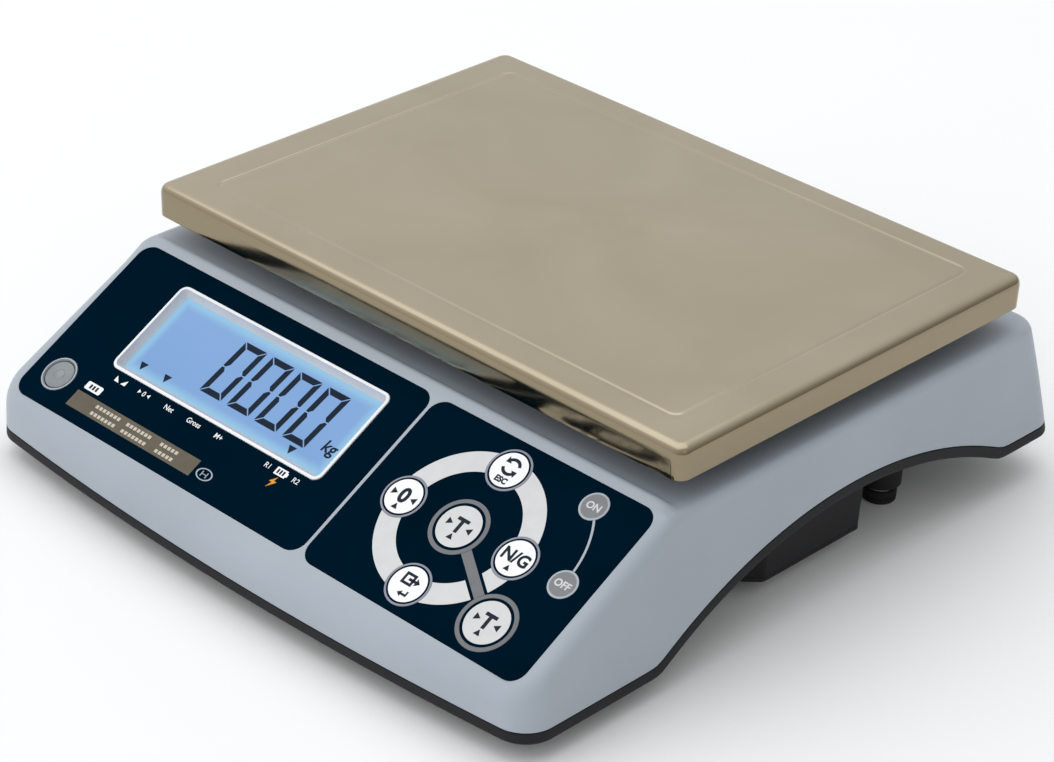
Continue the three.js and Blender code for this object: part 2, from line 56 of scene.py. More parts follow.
azimuth, elevation, roll = (math.radians(a) for a in (43.18, 29.51, 2.36))
distance, aside, below = 1.368, 0.0213, 0.0659
level_right = Vector((math.cos(azimuth), math.sin(azimuth), 0))
level_away = Vector((math.sin(azimuth), -math.cos(azimuth), 0))
away = level_away * math.cos(elevation) + Vector((0, 0, math.sin(elevation)))
level_up = away.cross(level_right)
view_right = level_right * math.cos(roll) + level_up * math.sin(roll)
view_up = level_up * math.cos(roll) - level_right * math.sin(roll)
pan_low, pan_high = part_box("weighing_pan")
pan_centre = Vector(((pan_low.x + pan_high.x) / 2, (pan_low.y + pan_high.y) / 2, pan_high.z))
camera = bpy.data.objects.new("camera", bpy.data.cameras.new("camera"))
camera.data.lens = 110.2
camera.data.clip_start = 0.05
place = pan_centre + away * distance - level_right * aside - level_up * below
camera.matrix_world = Matrix.Translation(place) @ Matrix((view_right, view_up, away)).transposed().to_4x4()
scene.collection.objects.link(camera)
scene.camera = camera


# ---- Top housing ---------------------------------------------------------------------------------
# One injection moulding in light blue-grey ABS: the sloped operator's panel, the flat deck under the
# pan, drafted sides, a bowed front and a leaning rear wall. Edges are rounded generously and the sides
# are arched from below.

half_width, side_draft = 160, 0.059
front_y, front_bow = -160.5, 8.5
rear_y, rear_lean, rear_curve = 169, 0.25, 0.0008
plan_corner = 13
rim_z, rear_rim_z = 9, 19
arch_y, arch_peak, arch_radius = 29, 43.5, 212
rim_height = 5.1
deck_z = 76.5
panel_y, panel_z = -81.9, 76.25
panel_slope = math.radians(29.5)
wall = 2.8


def smooth(x):
    """A step from 0 to 1 with level ends: 3x^2 - 2x^3, held to 0..1."""
    x = np.clip(x, 0, 1)
    return x * x * (3 - 2 * x)


def lower_line(y, above=0):
    """Height of the body's lower edge: a flat, a circular arch and a higher flat, joined by a soft
    maximum."""
    radius = arch_radius + above
    arch = arch_peak - arch_radius + np.sqrt(np.maximum(radius**2 - (y - arch_y) ** 2, 0))
    flat = np.where(y < arch_y, rim_z, rear_rim_z) + above
    return (flat + arch + np.sqrt((flat - arch) ** 2 + 2.0)) / 2


def top_surface(x, y):
    """The panel's plane below the deck's height; above it the plane goes on to a low crest that falls
    back to the deck in an S, and the crest dies out towards the sides."""
    rise = panel_z - deck_z + (y - panel_y) * math.tan(panel_slope)
    crest = smooth((156 - np.abs(x)) / 12) * (1 - smooth((y + 78.4) / 5.6))
    return deck_z + np.where(rise > 0, rise * crest, rise)


def perimeter(across, along, steps):
    """Round four sides, anticlockwise from the front left: the share of the half width (-1 to 1) and of
    the depth (0 to 1) at which each point's centre of curvature lies, and the outward direction as an
    angle."""
    sides = []
    for k, line in enumerate((across, along, across[::-1], along[::-1])):
        turn = math.pi / 2 * (k - 1)
        lead = turn - math.pi / 4 * (1 - np.arange(steps) / steps)
        tail = turn + math.pi / 4 * np.arange(1, steps) / steps
        share = np.r_[np.full(steps, line[0]), line, np.full(steps - 1, line[-1])]
        fixed = np.full(len(share), (0, 1, 1, -1)[k])
        pair = (share, fixed) if k % 2 == 0 else (fixed, share)
        sides.append((*pair, np.r_[lead, np.full(len(line), turn), tail]))
    return [np.concatenate(column) for column in zip(*sides)]


def patch(x, y, columns, rows):
    """A grid over a closed loop of points, by transfinite interpolation between its four sides."""
    loop = np.stack([np.r_[x, x[0]], np.r_[y, y[0]]], 1)
    front, right = loop[: columns + 1], loop[columns : columns + rows + 1]
    back = loop[columns + rows : 2 * columns + rows + 1][::-1]
    left = loop[2 * columns + rows :][::-1]
    u = ((front[:, 0] - front[0, 0]) / (front[-1, 0] - front[0, 0]))[None, :, None]
    v = ((left[:, 1] - left[0, 1]) / (left[-1, 1] - left[0, 1]))[:, None, None]
    ruled = (1 - v) * front + v * back + (1 - u) * left[:, None] + u * right[:, None]
    corners = (1 - v) * ((1 - u) * front[0] + u * front[-1]) + v * ((1 - u) * back[0] + u * back[-1])
    flat = ruled - corners
    return flat[..., 0], flat[..., 1]


def quads(rows, columns, wrap=False):
    """The faces of a grid of points stored row by row; wrap joins the last column to the first."""
    i, j = np.meshgrid(np.arange(rows - 1), np.arange(columns - (0 if wrap else 1)), indexing="ij")
    after, row, above = (j + 1) % columns, i * columns, (i + 1) * columns
    return np.stack([row + j, row + after, above + after, above + j], -1).reshape(-1, 4)


def moulded(
    outline, bend, low, high, low_edge, high_edge, across, along, steps=6, wall_rows=6, edge_rows=6
):
    """A closed body between two height fields low(x, y) and high(x, y). outline(z, inset, share_x,
    share_y, angle) gives the plan at a height and bend(x, y) moves it. Each rim is a quadratic Bezier
    from the wall to the field."""
    shares = perimeter(across, along, steps)

    def rim(field, edge, side):
        z = field(0 * shares[0], 0 * shares[0])
        for _ in range(4):
            x, y = outline(z, 0, *shares)
            z = field(*bend(x, y))
        radius = edge(*bend(x, y)) if callable(edge) else edge
        corner = np.stack([*bend(x, y), z], 1)
        on_wall = z - side * radius
        start = np.stack([*bend(*outline(on_wall, 0, *shares)), on_wall], 1)
        flat = outline(z, radius, *shares)
        end = np.stack([*bend(*flat), field(*bend(*flat))], 1)
        t = np.linspace(0, 1, edge_rows + 1)[:, None, None]
        return (1 - t) ** 2 * start + 2 * t * (1 - t) * corner + t**2 * end, flat

    top, top_flat = rim(high, high_edge, 1)
    bottom, bottom_flat = rim(low, low_edge, -1)
    between = []
    for t in np.linspace(0, 1, wall_rows + 1)[1:-1]:
        z = bottom[0, :, 2] * (1 - t) + top[0, :, 2] * t
        between.append(np.stack([*bend(*outline(z, 0, *shares)), z], 1))
    rows = np.concatenate([bottom[::-1], *([np.array(between)] if between else []), top])
    count = rows.shape[1]
    points, faces = [rows.reshape(-1, 3)], [quads(len(rows), count, wrap=True)]
    columns, depth = len(across) + 2 * steps - 1, len(along) + 2 * steps - 1
    for flat, field, turn in ((top_flat, high, 1), (bottom_flat, low, -1)):
        x, y = bend(*patch(*flat, columns, depth))
        points.append(np.stack([x, y, field(x, y)], -1).reshape(-1, 3))
        faces.append(quads(depth + 1, columns + 1)[:, ::turn] + sum(map(len, points[:-1])))
    return np.concatenate(points), np.concatenate(faces).tolist()


def soft_prism(corners, radius, levels, steps=8):
    """An upright prism on a convex polygon with rounded corners: its core polygon is the sharp one
    moved inwards by radius, and a disc of radius minus each level's inset is carried round it. levels
    are (height, inset)."""
    corners = np.array(corners, float)
    edges = np.roll(corners, -1, 0) - corners
    headings = np.arctan2(edges[:, 1], edges[:, 0]) - math.pi / 2
    core, angles = [], []
    for k, corner in enumerate(corners):
        before, after = headings[k - 1], headings[k]
        swing = (after - before) % (2 * math.pi)
        middle = before + swing / 2
        step = radius / math.cos(swing / 2)
        arc = before + swing * np.linspace(0, 1, max(2, round(steps * swing * 2 / math.pi) + 1))
        angles.append(arc)
        core.append(np.tile(corner - step * np.array([math.cos(middle), math.sin(middle)]), (len(arc), 1)))
    return lofted(np.concatenate(core), np.concatenate(angles), radius, levels)


def lofted(core, angles, radius, levels):
    """Rings of points at the given levels round a core, closed by one flat face at each end."""
    direction = np.stack([np.cos(angles), np.sin(angles)], 1)
    rings = [np.c_[core + (radius - inset) * direction, np.full(len(core), z)] for z, inset in levels]
    count = len(core)
    faces = quads(len(rings), count, wrap=True).tolist()
    faces.append(list(range(count))[::-1])
    faces.append(list(range((len(rings) - 1) * count, len(rings) * count)))
    return np.concatenate(rings), faces


def disc(x, y, radius, levels, sides=48):
    """A turned shape on an upright axis; levels are (height, inset from the radius)."""
    angles = 2 * math.pi * np.arange(sides) / sides
    return lofted(np.tile([x, y], (sides, 1)), angles, radius, levels)


def rectangle(x0, x1, y0, y1):
    """Its four corners, anticlockwise from the front left."""
    return [(x0, y0), (x1, y0), (x1, y1), (x0, y1)]


def rounded_levels(low, high, low_edge, high_edge, rows=4):
    """Levels for a wall from low to high with a quarter round at each end."""
    swing = np.linspace(0, math.pi / 2, rows + 1)
    foot = [(low + low_edge * (1 - math.sin(a)), low_edge * (1 - math.cos(a))) for a in swing[::-1]]
    head = [(high - high_edge * (1 - math.sin(a)), high_edge * (1 - math.cos(a))) for a in swing]
    return (foot if low_edge else [(low, 0)]) + (head if high_edge else [(high, 0)])


def turned_about(shape, matrix):
    """A shape carried by a 4 x 4 matrix, in millimetres."""
    points, faces = shape
    matrix = np.array(matrix)
    return points @ matrix[:3, :3].T + matrix[:3, 3], faces


panel_frame = Matrix.Translation((0, panel_y, panel_z)) @ Matrix.Rotation(panel_slope, 4, "X")


def on_panel(shape):
    """A shape drawn flat, laid on the panel's slope."""
    return turned_about(shape, panel_frame)


def along_y(shape, x, y, z):
    """An upright shape laid down so that its axis runs to the rear, from the point given."""
    return turned_about(shape, Matrix.Translation((x, y, z)) @ Matrix.Rotation(-math.pi / 2, 4, "X"))


def temporary(shape):
    """A shape as a welded object, for one boolean step."""
    points, faces = shape
    mesh = bpy.data.meshes.new("temporary")
    mesh.from_pydata(points.tolist(), [], faces)
    weld(mesh, 1e-5)
    made = bpy.data.objects.new("temporary", mesh)
    scene.collection.objects.link(made)
    return made


def weld(mesh, distance):
    """Merges the points of a mesh that lie nearer to each other than the distance."""
    build = bmesh.new()
    build.from_mesh(mesh)
    bmesh.ops.remove_doubles(build, verts=build.verts, dist=distance)
    build.to_mesh(mesh)
    build.free()


def combined(shape, tools, operation="DIFFERENCE"):
    """The shape after each tool is cut from it, joined to it or kept in common with it."""
    base = temporary(shape)
    others = [temporary(tool) for tool in tools]
    for other in others:
        step = base.modifiers.new("step", "BOOLEAN")
        step.object, step.operation, step.solver = other, operation, "MANIFOLD"
    result = base.evaluated_get(bpy.context.evaluated_depsgraph_get()).to_mesh()
    points = np.empty(len(result.vertices) * 3, np.float32)
    result.vertices.foreach_get("co", points)
    faces = [list(p.vertices) for p in result.polygons]
    base.evaluated_get(bpy.context.evaluated_depsgraph_get()).to_mesh_clear()
    for made in (base, *others):
        mesh = made.data
        bpy.data.objects.remove(made)
        bpy.data.meshes.remove(mesh)
    return points.reshape(-1, 3).astype(float), faces


def linear(colour):
    """An sRGB hex colour as the linear RGBA that a shader takes."""
    parts = [int(colour[i : i + 2], 16) / 255 for i in (1, 3, 5)]
    return (*(p / 12.92 if p <= 0.04045 else ((p + 0.055) / 1.055) ** 2.4 for p in parts), 1)


def node(material, kind, inputs=(), **settings):
    """Adds a node with its settings; an input that is given as a socket is linked, any other is a
    value."""
    made = material.node_tree.nodes.new("ShaderNode" + kind)
    for name, value in settings.items():
        setattr(made, name, value)
    for name, value in dict(inputs).items():
        if isinstance(value, bpy.types.NodeSocket):
            material.node_tree.links.new(value, made.inputs[name])
        else:
            made.inputs[name].default_value = value
    return made


def feed(material, shader, **sockets):
    """Links sockets to a shader's inputs, which are named with _ for a space."""
    for key, socket in sockets.items():
        material.node_tree.links.new(socket, shader.inputs[key.replace("_", " ")])


def surface(name, colour, **settings):
    """A material with one Principled shader; settings are its input names with _ for a space."""
    material = bpy.data.materials.new(name)
    material.use_nodes = True
    shader = material.node_tree.nodes["Principled BSDF"]
    shader.inputs["Base Color"].default_value = linear(colour)
    for key, value in settings.items():
        shader.inputs[key.replace("_", " ")].default_value = value
    return material, shader


def finish(name, colour, shades, patch_mm, grain_mm, grain_depth, rough, **settings):
    """Cloudy colour between two near shades, a fine grain in the height, and roughness that follows the
    grain."""
    material, shader = surface(name, colour, **settings)
    where = node(material, "TexCoord").outputs["Object"]
    cloud = node(material, "TexNoise", {"Vector": where, "Scale": 1000 / patch_mm, "Detail": 3.0})
    share = node(material, "MapRange", {"Value": cloud.outputs["Fac"], "From Min": 0.3, "From Max": 0.7})
    ends = {"Factor": share.outputs["Result"], "A": linear(shades[0]), "B": linear(shades[1])}
    mix = node(material, "Mix", ends, data_type="RGBA")
    grain = node(material, "TexNoise", {"Vector": where, "Scale": 1000 / grain_mm, "Detail": 2.0})
    levels = {"Value": grain.outputs["Fac"], "To Min": rough[0], "To Max": rough[1]}
    uneven = node(material, "MapRange", levels)
    height = {"Height": grain.outputs["Fac"], "Distance": grain_depth / 1000, "Strength": 1.0}
    bump = node(material, "Bump", height)
    feed(material, shader, Base_Color=mix.outputs["Result"], Roughness=uneven.outputs["Result"])
    feed(material, shader, Normal=bump.outputs["Normal"])
    return material


def together(shapes):
    """Several shapes as one, without welding them: each one's faces count on from the points before it."""
    points, faces = [], []
    for shape in shapes:
        start = sum(map(len, points))
        points.append(np.asarray(shape[0]))
        faces += [[v + start for v in face] for face in shape[1]]
    return np.concatenate(points), faces


def piece(name, parts, body, slot, *nodes):
    """One object from (shape, material) parts, in metres. It rides on a body and stands for the nodes
    named. Edges that turn by more than 32 degrees stay sharp."""
    points, faces = together([shape for shape, _ in parts])
    slots = np.repeat(np.arange(len(parts)), [len(shape[1]) for shape, _ in parts])
    mesh = bpy.data.meshes.new(name)
    mesh.from_pydata((points / 1000).tolist(), [], faces)
    for _, material in parts:
        mesh.materials.append(material)
    mesh.polygons.foreach_set("material_index", slots)
    weld(mesh, 2e-7)
    mesh.shade_smooth()
    mesh.set_sharp_from_angle(angle=math.radians(32))
    made = bpy.data.objects.new(name, mesh)
    scene.collection.objects.link(made)
    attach(made, body)
    if nodes:
        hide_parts(*nodes)
    return made


def body_outline(z, inset, share_x, share_y, angle):
    """The plan at a height: drafted sides, a straight front and a rear that leans in more the higher it
    is."""
    half = half_width - side_draft * (z - rim_z) - inset
    above = z - rear_rim_z
    rear = rear_y - rear_lean * above - rear_curve * above**2 - inset
    radius = np.maximum(plan_corner - inset, 1.5)
    front = front_y + inset + radius
    x = share_x * (half - radius) + radius * np.cos(angle)
    return x, front + share_y * (rear - radius - front) + radius * np.sin(angle)


def bow(x, y):
    """The front swells forwards by a parabola across the width, which dies out up the panel."""
    reach = smooth((-104 - y) / 44)
    return x, y - front_bow * (1 - (x / half_width) ** 2) * reach


across = np.linspace(-1, 1, 90)
along = np.r_[np.linspace(0, 0.21, 24), np.linspace(0.214, 0.262, 26), np.linspace(0.27, 1, 64)]
coarse_across, coarse_along = np.linspace(-1, 1, 24), np.linspace(0, 1, 60)


def inside_outline(z, inset, *shares):
    """The body's plan, moved in by the wall's thickness."""
    return body_outline(z, inset + wall, *shares)


def level_field(height):
    """A height field that is the same everywhere."""
    return lambda x, y: np.full(np.shape(x), float(height))


def rim_edge(x, y):
    """How far the rounding of the upper edge reaches: wide beside the panel, tighter round the deck."""
    return 4.2 + 4.3 * smooth((-70 - y) / 24)


def lower_field(above):
    """The height field of the body's lower edge, raised by a distance."""
    return lambda x, y: lower_line(y, above)


def under_surface(x, y):
    """The inner face of the top, a wall's thickness below the outer one."""
    return top_surface(x, y) - wall


outer = moulded(
    body_outline, bow, lower_field(rim_height + 0.3), top_surface, 0.5, rim_edge, across, along,
    wall_rows=10, edge_rows=9,
)
hollow = moulded(
    inside_outline, bow, level_field(-5), under_surface, 0.5, rim_edge, coarse_across, along[::2],
    wall_rows=5, edge_rows=5,
)
display_film = dict(x0=-149.9, x1=28.7, y0=-87.2, y1=0)
keypad_film = dict(x0=30.6, x1=149.9, y0=-87.2, y1=0)
film_corner = 7
display = dict(x0=-116.4, x1=12.4, y0=-56.8, y1=-9)
display_corner = 4
level_x, level_y = -134.8, -71.6
key_places = {
    "zero": (50.6, -44.0, 9.9),
    "escape": (81.6, -13.4, 9.9),
    "net_gross": (111.8, -43.8, 9.9),
    "print": (80.8, -74.3, 9.9),
    "tare_centre": (81.2, -43.8, 12.9),
    "tare_lower": (121.2, -71.7, 12.9),
    "on": (124.2, -10.0, 6.4),
    "off": (136.6, -43.6, 6.4),
}


def grown(box, by=0):
    """The corners of a plan box whose sides are all moved outwards."""
    return rectangle(box["x0"] - by, box["x1"] + by, box["y0"] - by, box["y1"] + by)


def upright(low, high):
    """Levels for a plain straight wall."""
    return [(low, 0), (high, 0)]


def drilled(places, radius, low, high, sides=32):
    """One plain upright cylinder at each place."""
    return [disc(x, y, radius, upright(low, high), sides) for x, y in places]


def middle(name):
    """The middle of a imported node's box, in millimetres."""
    return [500 * (low + high) for low, high in zip(*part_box(name))]


film_gap, pocket_depth, pillar_gap = 0.2, 1, 6
through_panel, through_deck = (-12, 6), (60, 90)
pockets = [
    soft_prism(grown(film, film_gap), film_corner + film_gap, upright(-pocket_depth, 6))
    for film in (display_film, keypad_film)
]
window = soft_prism(grown(display, -1), display_corner, upright(*through_panel))
level_hole = disc(level_x, level_y, 8, upright(*through_panel))
stem_holes = drilled([(x, y) for x, y, _ in key_places.values()], 3.2, *through_panel, 20)
panel_cuts = [on_panel(tool) for tool in (*pockets, window, level_hole, *stem_holes)]
low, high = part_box("cell_spacer_pan")
pillar = dict(x0=1000 * low.x, x1=1000 * high.x, y0=1000 * low.y, y1=1000 * high.y)
pillar_hole = soft_prism(grown(pillar, pillar_gap), 3, upright(*through_deck))
quarters = ("front_left", "front_right", "rear_left", "rear_right")
stops = [middle("overload_stop_" + quarter)[:2] for quarter in quarters]
stop_holes = drilled(stops, 7.5, *through_deck)
inlet_back, inlet_face = (1000 * corner.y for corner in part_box("dc_inlet"))
inlet_x, _, inlet_z = middle("dc_inlet")
inlet_hole = along_y(disc(0, 0, 7, upright(0, 40)), inlet_x, inlet_face - 12, inlet_z)
shell = combined(outer, [hollow, *panel_cuts, pillar_hole, *stop_holes, inlet_hole])

# Moulded ABS with a fine spark-eroded grain: it scatters light softly, with a dull sheen and no sharp
# reflection.
blue_grey_abs = finish(
    "moulded_abs_blue_grey", "#ABB5C0", ("#9FA8B2", "#A6AFB9"),
    patch_mm=70, grain_mm=0.55, grain_depth=0.012, rough=(0.4, 0.52), IOR=1.53, Specular_IOR_Level=0.45,
)
piece("top_housing_shell", [(shell, blue_grey_abs)], "base", "housing_plastic", "top_housing")


# ---- Base housing --------------------------------------------------------------------------------
# The charcoal ABS tray that closes the body from below. Its rim shows as a dark band under the top
# housing, its floor is vaulted between the two flats, and the battery tub and the bosses of the four
# feet hang under it.

tray = moulded(
    body_outline, bow, lower_field(0), lower_field(rim_height), 1.5, 0.4, across, along,
    wall_rows=4, edge_rows=5,
)
tray_space = moulded(
    inside_outline, bow, lower_field(2.6), level_field(95), 0.5, 0.5, coarse_across, coarse_along
)
tub_x0, tub_x1, tub_y0, tub_y1, tub_z = 30, 144, -24, 58, 7
tub_wall, tub_chamfer, tub_corner, tub_draft = 2.5, 17.7, 5, 1.6
tub_plan = [
    (tub_x0, tub_y0),
    (tub_x1 - tub_chamfer, tub_y0),
    (tub_x1, tub_y0 + tub_chamfer),
    (tub_x1, tub_y1),
    (tub_x0, tub_y1),
]
tub_foot = [(z, inset + tub_draft) for z, inset in rounded_levels(tub_z, tub_z + 6, 2.6, 0)[:-1]]
tub = soft_prism(tub_plan, tub_corner, tub_foot + [(62, 0)])
tub_space = soft_prism(tub_plan, tub_corner, [(0, tub_wall + 0.4), (62, tub_wall)])
cover_exit = soft_prism(
    rectangle(tub_x0 - 5, tub_x0 + 10, tub_y0 + 3, tub_y1 - 3), 0.5, upright(0, 10.6)
)
foot_places = {quarter: middle("foot_pad_" + quarter)[:2] for quarter in quarters}
front_boss_top, rear_boss_top = 24, 38
foot_bosses = []
for quarter, (x, y) in foot_places.items():
    boss_top = front_boss_top if quarter.startswith("front") else rear_boss_top
    foot_bosses.append(disc(x, y, 9.6, [(8, 1.5), (8.6, 0.9), (14, 0.7), (boss_top, 0)]))
screw_places = {}
for quarter in quarters:
    name = "housing_screw_" + quarter
    screw_places[quarter] = (*middle(name)[:2], 1000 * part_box(name)[0].z)
screw_seats = [disc(x, y, 5.2, upright(z - 0.7, z + 5.3)) for x, y, z in screw_places.values()]
screw_recesses = [disc(x, y, 4, upright(-5, z + 2.7)) for x, y, z in screw_places.values()]
screw_bores = drilled([(x, y) for x, y, _ in screw_places.values()], 2, 0, 60, 20)
posts = drilled(stops, 6.5, 44, 73)
foot_bores = drilled(foot_places.values(), 3.3, 0, 60)
cell_y = middle("load_cell")[1]
cell_bolt_reach = (42.5, 57.5)
cell_seat = soft_prism(rectangle(-17, 17, cell_y + 32, cell_y + 68), 2, upright(30, 44.4))
cell_bores = drilled([(0, cell_y + reach) for reach in cell_bolt_reach], 5.6, 0, 39.6)
base_shell = combined(tray, [tub], "UNION")
base_shell = combined(base_shell, [tray_space, tub_space, cover_exit])
base_shell = combined(base_shell, [*foot_bosses, *screw_seats, *posts, cell_seat], "UNION")
base_shell = combined(base_shell, [*foot_bores, *screw_bores, *screw_recesses, *cell_bores])

# The same ABS in charcoal, from a mould with a slightly coarser grain, so it looks almost matt.
charcoal_abs = finish(
    "moulded_abs_charcoal", "#212123", ("#1F1F21", "#242426"),
    patch_mm=60, grain_mm=0.7, grain_depth=0.02, rough=(0.5, 0.65), IOR=1.53, Specular_IOR_Level=0.15,
)
piece("base_housing_shell", [(base_shell, charcoal_abs)], "base", "base_plastic", "base_housing")


# ---- Battery cover -------------------------------------------------------------------------------
# A flat ABS door that slides out to the left in grooves in the tub's walls, with three moulded finger
# grips.

cover_low, cover_high, cover_gap = 7.2, 10.2, 0.6
cover_levels = rounded_levels(cover_low, cover_high - cover_gap, 0.4, 0)
cover_panel = soft_prism(tub_plan, tub_corner, [(z, i + tub_wall + cover_gap) for z, i in cover_levels])
cover_tongue = soft_prism(tub_plan, tub_corner, [(8.5, 1.5), (cover_high, 1.5)])
cover_end = soft_prism(
    rectangle(tub_x0 + 0.2, tub_x0 + 9, tub_y0 + 3.3, tub_y1 - 3.3), 0.6,
    rounded_levels(cover_low, cover_high, 0.4, 0),
)
grip_levels = [(6, 0), (7.15, 0), (7.9, 0.5)]
grips = [soft_prism(rectangle(x, x + 2, 5, 29), 0.9, grip_levels) for x in (38, 42, 46)]
cover = combined(combined(cover_panel, [cover_tongue, cover_end], "UNION"), grips)
piece("battery_door", [(cover, charcoal_abs)], "battery_cover", "base_plastic", "battery_cover")


# ---- Feet ----------------------------------------------------------------------------------------
# Four moulded rubber pads, each snapped on the flange of a zinc-plated levelling screw that turns in
# its boss.

pad_base = [(0, 1.1), (0.15, 0.6), (0.8, 0.1), (2.6, 0)]
pad_groove = [(2.8, 0.35), (3.2, 0.35)]
pad_levels = pad_base + pad_groove + [(3.4, 0), (5.6, 0), (6.2, 0.5)]
thread_pitch, thread_depths = 1.25, (0, 0.25, 0.45, 0.25)
thread_levels = [
    (z + step * thread_pitch / 4, depth)
    for z in np.arange(7.8, 21.4, thread_pitch)
    for step, depth in enumerate(thread_depths)
]
thread_levels = [(7, 0), *thread_levels, (22.5, 0.5)]
flange_levels = rounded_levels(6.5, 7.6, 0.2, 0.3)

# Black rubber: matt, with a faint bloom that lightens it in patches.
foot_rubber = finish(
    "moulded_rubber_black", "#1B1B1C", ("#18181A", "#222224"),
    patch_mm=9, grain_mm=0.5, grain_depth=0.03, rough=(0.72, 0.88), IOR=1.5, Specular_IOR_Level=0.3,
)
# Bright zinc plating on turned steel: a bluish metal whose gloss is broken by a fine grain.
zinc_plate = finish(
    "zinc_plated_steel", "#B9BDC4", ("#B2B7BF", "#C2C5CA"),
    patch_mm=6, grain_mm=0.6, grain_depth=0.01, rough=(0.22, 0.38), Metallic=1.0,
)
for quarter, (x, y) in foot_places.items():
    pad_node, screw_node = "foot_pad_" + quarter, "foot_screw_" + quarter
    pad = disc(x, y, 7.3, pad_levels)
    piece("foot_" + quarter, [(pad, foot_rubber)], pad_node, "foot_rubber", pad_node)
    screw = combined(disc(x, y, 6.4, flange_levels), [disc(x, y, 2.95, thread_levels)], "UNION")
    piece("foot_thread_" + quarter, [(screw, zinc_plate)], screw_node, "zinc_steel", screw_node)


# ---- Housing screws ------------------------------------------------------------------------------
# Four small cross-recessed screws, sunk in the base, that pull the two housings together.

for quarter, (x, y, z) in screw_places.items():
    head = disc(x, y, 3.4, [(z, 1.2), (z + 0.3, 0.5), (z + 0.9, 0.1), (z + 2.4, 0)])
    shank = disc(x, y, 1.6, [(z + 2, 0), (z + 16.7, 0.4)], 24)
    slot_cut = soft_prism(rectangle(-1.9, 1.9, -0.4, 0.4), 0.15, upright(z - 1, z + 1.2))
    cross = [
        turned_about(slot_cut, Matrix.Translation((x, y, 0)) @ Matrix.Rotation(turn, 4, "Z"))
        for turn in (0.3, 0.3 + math.pi / 2)
    ]
    fastener = combined(combined(head, [shank], "UNION"), cross)
    name = "housing_screw_" + quarter
    piece("cross_screw_" + quarter, [(fastener, zinc_plate)], "base", "zinc_steel", name)


# ---- Adapter inlet -------------------------------------------------------------------------------
# A round socket of black moulded plastic in the rear wall, with a bright plated pin in its middle.

body_length = inlet_face - inlet_back
socket_floor = body_length - 6
sleeve = disc(0, 0, 6.6, rounded_levels(0, body_length, 0.2, 0.5))
recess = disc(0, 0, 5, [(socket_floor, 0), (body_length - 0.5, 0), (body_length + 1, -0.8)])
sleeve = combined(sleeve, [recess, disc(0, 0, 3.2, upright(2, body_length))])
pin = disc(0, 0, 1, [(1, 0), (socket_floor - 1.2, 0), (socket_floor - 0.6, 0.6)], 24)
socket_parts = [along_y(shape, inlet_x, inlet_back, inlet_z) for shape in (sleeve, pin)]
# Black nylon: smooth from the mould, a little glossier than the housing.
black_nylon = finish(
    "moulded_nylon_black", "#161617", ("#141415", "#19191A"),
    patch_mm=8, grain_mm=0.4, grain_depth=0.005, rough=(0.38, 0.5), IOR=1.53, Specular_IOR_Level=0.5,
)
socket_parts = list(zip(socket_parts, (black_nylon, zinc_plate)))
piece("adapter_socket", socket_parts, "base", "black_plastic", "dc_inlet")


# ---- Weighing pan --------------------------------------------------------------------------------
# One sheet of stainless steel, 1.2 mm thick, drawn into a shallow tray turned upside down: a flat top
# with a shallow pressed line round it, a rounded edge and a skirt with tight corners. Its finish is a
# satin brushed one.

pan_x, pan_y0, pan_y1 = 1000 * pan_high.x, 1000 * pan_low.y, 1000 * pan_high.y
pan_z0, pan_z1 = 1000 * pan_low.z, 1000 * pan_high.z
pan_sheet, pan_corner, pan_edge, pan_lean = 1.2, 6, 4.8, 0.018
line_x, line_y0, line_y1 = 134, -57.5, 124.5
line_corner, line_width, line_depth = 5, 1.4, 0.3


def pan_outline(z, inset, share_x, share_y, angle):
    """A rectangle with round corners; the skirt leans in by a degree towards its lower edge."""
    inset = inset + (pan_z1 - z) * pan_lean
    radius = np.maximum(pan_corner - inset, 0.8)
    depth = pan_y1 - pan_y0 - 2 * (inset + radius)
    x = share_x * (pan_x - inset - radius) + radius * np.cos(angle)
    return x, pan_y0 + inset + radius + share_y * depth + radius * np.sin(angle)


def straight(x, y):
    """No bend: the plan stays as it is."""
    return x, y


def pan_top(x, y):
    """Flat, less a rounded groove along a rectangle with round corners, found from the distance to that
    rectangle."""
    reach_x = np.abs(x) - (line_x - line_corner)
    reach_y = np.abs(y - (line_y0 + line_y1) / 2) - ((line_y1 - line_y0) / 2 - line_corner)
    outside = np.hypot(np.maximum(reach_x, 0), np.maximum(reach_y, 0))
    outside += np.minimum(np.maximum(reach_x, reach_y), 0)
    return pan_z1 - line_depth * (1 - smooth(np.abs(outside - line_corner) / line_width))


def beside(lines, spread, count, size):
    """Grid shares that gather about the pressed line's edges, over an even spacing."""
    return np.unique(np.r_[size, *(line + np.linspace(-spread, spread, count) for line in lines)])


pan_across = beside((-0.905, 0.905), 0.045, 26, np.linspace(-1, 1, 36))
pan_along = beside((0.048, 0.948), 0.045, 26, np.linspace(0, 1, 30))
def pan_inside(z, inset, *shares):
    """The pan's plan, moved in by the thickness of its sheet."""
    return pan_outline(z, inset + pan_sheet, *shares)


pan_skin = moulded(
    pan_outline, straight, level_field(pan_z0), pan_top, 0.5, pan_edge, pan_across, pan_along,
    steps=5, wall_rows=5, edge_rows=8,
)
pan_space = moulded(
    pan_inside, straight, level_field(pan_z0 - 6), level_field(pan_z1 - pan_sheet), 0.5,
    pan_edge - pan_sheet, pan_across[::8], pan_along[::8], steps=5, edge_rows=5,
)
pan_shell = combined(pan_skin, [pan_space])

